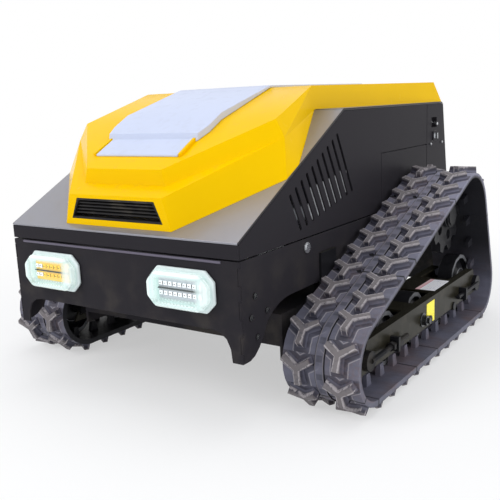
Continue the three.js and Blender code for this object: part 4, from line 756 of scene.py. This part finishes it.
class MOWER_OT_dress_tracks(bpy.types.Operator):
    """Give the belts, frames, wheels and motors their surfaces"""
    bl_idname = "mower.dress_tracks"
    bl_label = "Dress the tracks"

    def execute(self, context):
        paint = settings().paint
        dress(both("track_belt"), belt_rubber(), settings().track.edge, 28)
        dress(both("track_frame"), gritty_frame("frame_coat", paint.frames), paint.edge)
        wheels = both("sprocket", "front_idler", "rear_idler")
        wheels += both("road_wheel_front", "road_wheel_middle", "road_wheel_rear")
        dress(wheels, rubbed_wheel("wheel_coat", paint.wheels), paint.edge)
        dress(both("gear_motor"), powder_coat("motor_coat", paint.wheels, 0.5), paint.edge)
        dress(both("front_yoke"), powder_coat("yoke_coat", paint.wheels, 0.3), paint.edge / 2)
        dress(both("motor_cable"), matt_plastic("cable_black", paint.plastic))
        return {"FINISHED"}


class MOWER_OT_dress_inside(bpy.types.Operator):
    """Give the engine, the cutter and the electrics their surfaces"""
    bl_idname = "mower.dress_inside"
    bl_label = "Dress the inside"

    def execute(self, context):
        paint = settings().paint
        cast = casting("cast_alloy", paint.casting)
        bright = bare_steel("bright_steel", paint.steel)
        black = matt_plastic("black_moulding", paint.plastic)
        dress(["engine_block", "spindle", "control_box"], cast, paint.edge)
        small = ["muffler", "cutter_bar", "actuator_rod", "key_barrel", "toggle_lever"]
        dress(small, bright, paint.edge / 2)
        dress(["engine_shroud", "air_filter", "fuel_tank"], black, paint.edge)
        dress(["battery"], matt_plastic("battery_case", paint.battery), paint.edge)
        return {"FINISHED"}


class MOWER_OT_add_lamps(bpy.types.Operator):
    """Give the lamps a clear lens, a reflector and two rows of light blocks"""
    bl_idname = "mower.add_lamps"
    bl_label = "Add the light blocks"

    corner = 0.009
    plate_depth, plate_half_width, plate_half_height = 0.0095, 0.058, 0.023
    row_height = 0.0105
    # Share of the left lamp's columns, from its outer side, that are white
    white_share = 0.2

    def strip(self, x, z, half_width, half_height, front, back):
        """Box on the plate, whose depths are given from the plate's face outward."""
        face = FRONT_Y - self.plate_depth
        return box((x - half_width, face - front, z - half_height),
                   (x + half_width, face - back, z + half_height))

    def execute(self, context):
        lamps = settings().lamps
        dress(both("lamp_lens"), lamp_lens(), self.corner)
        dress(both("lamp_base"), moulding("lamp_base_pale", srgb(232, 244, 242), 0.25), self.corner)
        reflector = moulding("lamp_reflector", lamps.reflector, 0.2)
        warm_reflector = glowing("lamp_reflector_warm", srgb(255, 214, 92), 0.25)
        lit = {"white": glowing("light_white", lamps.white, lamps.glow),
               "amber": glowing("light_amber", lamps.amber, lamps.glow)}
        dark = matt_plastic("lamp_divider", settings().paint.plastic)
        half = self.plate_half_width
        for side, sign in SIDES:
            middle = sign * LAMP_X
            plate = self.strip(middle, LAMP_Z, half, self.plate_half_height, 0.001, 0)
            settle([plate], f"lamp_reflector_{side}", "chassis",
                   warm_reflector if side == "left" else reflector, 0.0004)
            groups, chips = {key: [] for key in lit}, []
            step = 2 * half / lamps.columns
            rows = (LAMP_Z - self.row_height, LAMP_Z + self.row_height)
            for z in rows:
                for column in range(lamps.columns):
                    x = middle - half + (column + 0.5) * step
                    warm = side == "left" and column >= lamps.columns * self.white_share
                    block = self.strip(x, z, lamps.block / 2, lamps.height / 2, 0.004, 0.001)
                    groups["amber" if warm else "white"].append(block)
                    chips.append((x, z))
            for key, blocks in groups.items():
                if blocks:
                    name = f"lights_{key}_{side}"
                    settle(blocks, name, "chassis", lit[key], 0.0006)
            bars = [self.strip(middle, LAMP_Z, half, 0.0012, 0.0056, 0.001)]
            bars += [self.strip(x, z, 0.0016, 0.0009, 0.0046, 0.004) for x, z in chips]
            bars += [self.strip(middle, z, half, 0.0032, 0.0022, 0.001) for z in rows]
            settle(bars, f"lamp_divider_{side}", "chassis", dark, 0.0003)
        return {"FINISHED"}


class MOWER_OT_add_fasteners(bpy.types.Operator):
    """Add the bolts and screws of the hull, the cover and the track frames"""
    bl_idname = "mower.add_fasteners"
    bl_label = "Add the fasteners"

    ear_screws = ((0.049, 0.282), (0.092, 0.241), (0.033, 0.240), (0.053, 0.194))
    pillar_screws = ((1.026, 0.517), (1.123, 0.517))
    access_screws = ((0.684, 0.380), (0.982, 0.380))
    buttons = ((0.262, 0.341),)
    frame_bolt = (-0.022, 0.112)

    def heads(self, places, sign, radius, sides):
        """Screws on the hull's wall, each a round flange with a cap of so many sides."""
        height = settings().fittings.height
        x = sign * (HALF_WIDTH + height / 2)
        found = []
        for y, z in places:
            centre = Vector((x, y + FRONT_Y, z))
            found.append(disc(centre, "x", radius, height, 24))
            cap = centre + Vector((sign * height * 0.6, 0, 0))
            found.append(disc(cap, "x", radius * 0.72, height * 0.6, sides))
        return found

    def execute(self, context):
        fittings = settings().fittings
        paint = settings().paint
        dark = bare_steel("screw_dark", shade(paint.steel, 0.16))
        bright = bare_steel("screw_bright", paint.steel)
        for side, sign in SIDES:
            dark_heads = self.heads(self.ear_screws, sign, fittings.screw, 6)
            settle(dark_heads, f"hull_screws_{side}", "chassis", dark, 0.0006)
            cover_heads = self.heads(self.access_screws, sign, fittings.screw * 0.7, 6)
            settle(cover_heads, f"access_screws_{side}", "cover", dark, 0.0005)
            button = self.heads(self.buttons, sign, fittings.button, 24)
            button += self.heads(self.pillar_screws, sign, fittings.screw * 0.6, 6)
            settle(button, f"hull_button_{side}", "chassis", bright, 0.0006)
            y, z = self.frame_bolt
            bolt = []
            for out, radius, depth, sides in (
                    (0.0015, fittings.washer, 0.003, 32), (0.008, fittings.hexagon, 0.012, 6),
                    (0.012, fittings.hexagon * 0.55, 0.018, 20)):
                bolt.append(disc((sign * (FRAME_FACE + out), y, z), "x", radius, depth, sides))
            settle(bolt, f"frame_bolt_{side}", "chassis", dark, 0.0008)
        return {"FINISHED"}


class MOWER_OT_add_labels(bpy.types.Operator):
    """Add plain stickers without text"""
    bl_idname = "mower.add_labels"
    bl_label = "Add the stickers"

    # Sticker on the frame's top plate: from its inner to its outer edge, along, and its height
    top_x, top_y, top_z = (0.433, 0.486), (0.098, 0.212), 0.156
    side_y, side_z = (0.006, 0.060), (0.090, 0.145)
    key_half = 0.0155

    def execute(self, context):
        labels = settings().labels
        thick = labels.thickness

        def white_marks(surface):
            across = surface.x.size()
            lines = across.part(0.0062).near(0.5, 0.18, 0.1) * surface.noise(240.0).rise(0.45, 0.6)
            ends = (surface.y > self.top_y[0] + 0.008) * (surface.y < self.top_y[1] - 0.009)
            ends = ends * (across > self.top_x[0] + 0.017) * (across < self.top_x[1] - 0.004)
            band = across < self.top_x[0] + 0.0125
            return ((labels.ink, lines * ends * 0.6), (labels.band, band))

        def yellow_marks(surface):
            spots = surface.noise(210.0, 2.0).rise(0.56, 0.66)
            rim = 1 - surface.y.near(sum(self.side_y) / 2, 0.026, 0.002)
            return ((labels.ink, spots * 0.5), (shade(labels.yellow, 0.7), rim * 0.4))

        paper = sticker("label_paper", labels.paper, white_marks)
        yellow = sticker("label_yellow", labels.yellow, yellow_marks)

        def ring(surface):
            away = (surface.y - KEY_Y).size().most((surface.z - KEY_Z).size())
            return ((labels.paper, away.near(0.0118, 0.0016, 0.0006)),)

        dark = sticker("label_switch", shade(labels.ink, 0.4), ring)
        for side, sign in SIDES:
            label = side_box(sign, self.top_x, self.top_y, (self.top_z, self.top_z + thick))
            settle([label], f"label_top_{side}", "chassis", paper)
            label = side_box(sign, (FRAME_FACE, FRAME_FACE + thick), self.side_y, self.side_z)
            settle([label], f"label_side_{side}", "chassis", yellow)
        half = self.key_half
        plate = side_box(1, (HALF_WIDTH, HALF_WIDTH + thick), (KEY_Y - half, KEY_Y + half),
                         (KEY_Z - half, KEY_Z + half))
        settle([plate], "label_switch", "chassis", dark)
        return {"FINISHED"}


class MOWER_OT_add_trim(bpy.types.Operator):
    """Add the hem with its painted highlight, the muffler's guard, the rear screen, the mud flaps
    with their painted shade and the panel's rails
    """
    bl_idname = "mower.add_trim"
    bl_label = "Add the trim"

    hem_place, hem_length = (-0.004, FRONT_Y - 0.0002, 0.357), 0.60
    # Guard: a row of upright tubes beside the muffler, each a little higher than the one before
    tubes, tube_step, tube_rise, tube_radius = 7, 0.026, 0.004, 0.0085
    guard_x, guard_y, guard_foot, guard_crest = 0.302, -0.212, 0.408, 0.462
    screen_low, screen_high = (-0.334, 0.5705, 0.405), (0.334, 0.5720, 0.540)
    flap_x, flap_y, flap_z = (0.185, 0.334), (0.599, 0.603), (0.052, 0.2515)
    rail_half = Vector((0.0035, 0.033, 0.0045))
    rail_x, rail_y, rail_z = 0.1286, FRONT_Y + 0.1215, 0.5745
    # The rail's rise along the machine, as a slope, and its turn inward in radians
    rail_slope, rail_turn = 0.5315, 0.04

    def hem(self, paint):
        # A pale rod along the front seam: the rolled edge, coloured as a painted highlight
        hem = disc(self.hem_place, "x", 0.0028, self.hem_length, 16)
        coat = powder_coat("hem_highlight_coat", paint.hem, 0.22)
        settle([hem], "front_hem_highlight", "chassis", coat, 0.001)

    def guard(self, paint):
        x, front, foot, crest = self.guard_x, self.guard_y, self.guard_foot, self.guard_crest
        guard = []
        for i in range(self.tubes):
            y, rise = front + i * self.tube_step, i * self.tube_rise
            middle = (foot + crest) / 2 + rise
            guard.append(disc((x, y, middle), "z", self.tube_radius, crest - foot, 16))
            guard.append(disc((x, y, foot - 0.016 + rise), "x", 0.0062, 0.008, 16))
        _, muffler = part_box("muffler")
        for y in (front, front + 2 * self.tube_step):
            middle = ((x + muffler.x) / 2, y, foot + 0.008)
            guard.append(disc(middle, "x", 0.004, x - muffler.x, 12))
        guard.append(box((x - 0.009, front - 0.01, foot - 0.023),
                         (x - 0.006, front + 0.17, foot + 0.017)))
        # The guard's tubes glow a little: a painted highlight on the plated steel
        plated = glowing("guard_painted_highlight", paint.steel, 0.3)
        settle(guard, "muffler_guard", "deck", plated, 0.001)

    def execute(self, context):
        paint = settings().paint
        self.hem(paint)
        self.guard(paint)
        mesh = matt_plastic("screen_black", paint.plastic)
        screen = box(self.screen_low, self.screen_high)
        settle([screen], "rear_screen", "chassis", mesh, 0.0004)
        # Black rubber mud flaps, which also stand in as dark sheets for the shade and hidden parts
        # under the hull
        rubber = matt_plastic("flap_rubber", paint.plastic)
        for side, sign in SIDES:
            flap = side_box(sign, self.flap_x, self.flap_y, self.flap_z)
            settle([flap], f"mud_and_shade_flap_{side}", "chassis", rubber, 0.001)
        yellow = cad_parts["hood"].data.materials[0]
        for side, sign in SIDES:
            rail = box(-self.rail_half, self.rail_half)
            rail.location = (sign * self.rail_x, self.rail_y, self.rail_z)
            rail.rotation_euler = (math.atan(self.rail_slope), 0, sign * self.rail_turn)
            settle([rail], f"panel_rail_{side}", "cover", yellow, 0.0012)
        return {"FINISHED"}


class MOWER_OT_add_studio(bpy.types.Operator):
    """Set up the floor, the soft light and the camera"""
    bl_idname = "mower.add_studio"
    bl_label = "Add the studio"

    # Camera's place in metres and its aim in degrees, as fitted to the photo's corners
    position = (1.1323, -1.6737, 0.6651)
    azimuth, elevation, roll = 34.85, 11.68, -2.51

    def lamp(self, name, place, target, size, power):
        bpy.ops.object.light_add(type="AREA", location=place)
        light = bpy.context.object
        light.name = name
        light.data.shape = "DISK"
        light.data.size = size
        light.data.energy = power
        direction = Vector(target) - Vector(place)
        light.rotation_euler = direction.to_track_quat("-Z", "Y").to_euler()

    def camera(self, focal):
        a, e, r = (math.radians(value) for value in (self.azimuth, self.elevation, self.roll))
        back = Vector((math.sin(a) * math.cos(e), -math.cos(a) * math.cos(e), math.sin(e)))
        right = (-back).cross(Vector((0, 0, 1))).normalized()
        up = right.cross(-back)
        turned_right = right * math.cos(r) + up * math.sin(r)
        turned_up = up * math.cos(r) - right * math.sin(r)
        bpy.ops.object.camera_add(location=self.position)
        camera = bpy.context.object
        turn = Matrix((turned_right, turned_up, back)).transposed()
        camera.rotation_euler = turn.to_euler()
        camera.data.lens = focal
        camera.data.sensor_width = 36
        camera.data.clip_start = 0.01
        bpy.context.scene.camera = camera

    def seen(self, tree):
        """1 for the rays of the camera, of reflections and of clear material, else 0."""
        path = tree.nodes.new("ShaderNodeLightPath")
        names = ("Is Camera Ray", "Is Glossy Ray", "Is Transmission Ray")
        camera, glossy, clear = (Expr(tree, path.outputs[name]) for name in names)
        return camera.most(glossy).most(clear)

    def floor(self, tint):
        """Pale floor that keeps the shadow and turns white away from the machine."""
        bpy.ops.mesh.primitive_plane_add(size=14, location=(0, 0, -0.0005))
        floor = bpy.context.object
        floor.name = "floor"
        surface = Surface("floor_pale", tint, Roughness=0.75)
        surface.coat((shade(tint, 0.97), surface.noise(1.5)))
        tree = surface.tree
        glow = tree.nodes.new("ShaderNodeEmission")
        glow.inputs["Color"].default_value = (1, 1, 1, 1)
        mix = tree.nodes.new("ShaderNodeMixShader")
        away = (surface.x * surface.x + surface.y * surface.y).root().rise(0.5, 1.9)
        tree.links.new((self.seen(tree) * (away * 0.5 + 0.5)).socket, mix.inputs[0])
        tree.links.new(surface.shader.outputs[0], mix.inputs[1])
        tree.links.new(glow.outputs[0], mix.inputs[2])
        tree.links.new(mix.outputs[0], tree.nodes["Material Output"].inputs["Surface"])
        floor.data.materials.append(surface.material)

    def world(self, strength):
        world = bpy.data.worlds.new("studio")
        bpy.context.scene.world = world
        world.use_nodes = True
        tree = world.node_tree
        back = tree.nodes["Background"]
        back.inputs["Strength"].default_value = strength
        back.inputs["Color"].default_value = srgb(246, 249, 255)
        white = tree.nodes.new("ShaderNodeBackground")
        white.inputs["Color"].default_value = (1, 1, 1, 1)
        white.inputs["Strength"].default_value = 1.0
        mix = tree.nodes.new("ShaderNodeMixShader")
        tree.links.new(self.seen(tree).socket, mix.inputs[0])
        tree.links.new(back.outputs[0], mix.inputs[1])
        tree.links.new(white.outputs[0], mix.inputs[2])
        tree.links.new(mix.outputs[0], tree.nodes["World Output"].inputs["Surface"])

    def execute(self, context):
        studio = settings().studio
        self.floor(studio.floor)
        self.lamp("key", (-1.6, -3.2, 2.6), (0, 0, 0.3), 2.6, studio.key)
        self.lamp("fill", (3.2, -0.8, 1.5), (0.2, 0, 0.3), 2.2, studio.fill)
        self.lamp("top", (0, 0.2, 3.4), (0, 0, 0.3), 3.0, studio.top)
        self.world(studio.sky)
        self.camera(studio.focal)
        bpy.context.scene.view_settings.view_transform = "Standard"
        return {"FINISHED"}


OPERATORS = (
    MOWER_OT_dress_hull, MOWER_OT_dress_hood, MOWER_OT_dress_tracks, MOWER_OT_dress_inside,
    MOWER_OT_add_lamps, MOWER_OT_add_fasteners, MOWER_OT_add_labels, MOWER_OT_add_trim,
    MOWER_OT_add_studio,
)
GROUPS = (
    MowerPaint, MowerTrack, MowerFittings, MowerLamps, MowerLabels, MowerStudio, MowerSettings)


class MOWER_PT_sidebar(bpy.types.Panel):
    """Sizes, colours and one button for each group of pieces"""
    bl_idname = "MOWER_PT_sidebar"
    bl_label = "Slope mower"
    bl_space_type = "VIEW_3D"
    bl_region_type = "UI"
    bl_category = "Mower"

    def draw(self, context):
        mower = context.scene.mower
        for group in ("paint", "track", "fittings", "lamps", "labels", "studio"):
            column = self.layout.column(heading=group.capitalize())
            values = getattr(mower, group)
            for name in values.__annotations__:
                column.prop(values, name)
        for operator in OPERATORS:
            self.layout.operator(operator.bl_idname)


def register():
    for item in GROUPS + OPERATORS + (MOWER_PT_sidebar,):
        bpy.utils.register_class(item)
    bpy.types.Scene.mower = bpy.props.PointerProperty(
        type=MowerSettings, name="Mower", description="Sizes and colours of the slope mower")


def unregister():
    del bpy.types.Scene.mower
    for item in reversed(GROUPS + OPERATORS + (MOWER_PT_sidebar,)):
        bpy.utils.unregister_class(item)


def main():
    register()
    bpy.ops.mower.dress_hull()
    bpy.ops.mower.dress_hood()
    bpy.ops.mower.dress_tracks()
    bpy.ops.mower.dress_inside()
    bpy.ops.mower.add_lamps()
    bpy.ops.mower.add_fasteners()
    bpy.ops.mower.add_labels()
    bpy.ops.mower.add_trim()
    bpy.ops.mower.add_studio()


if __name__ == "__main__":
    main()
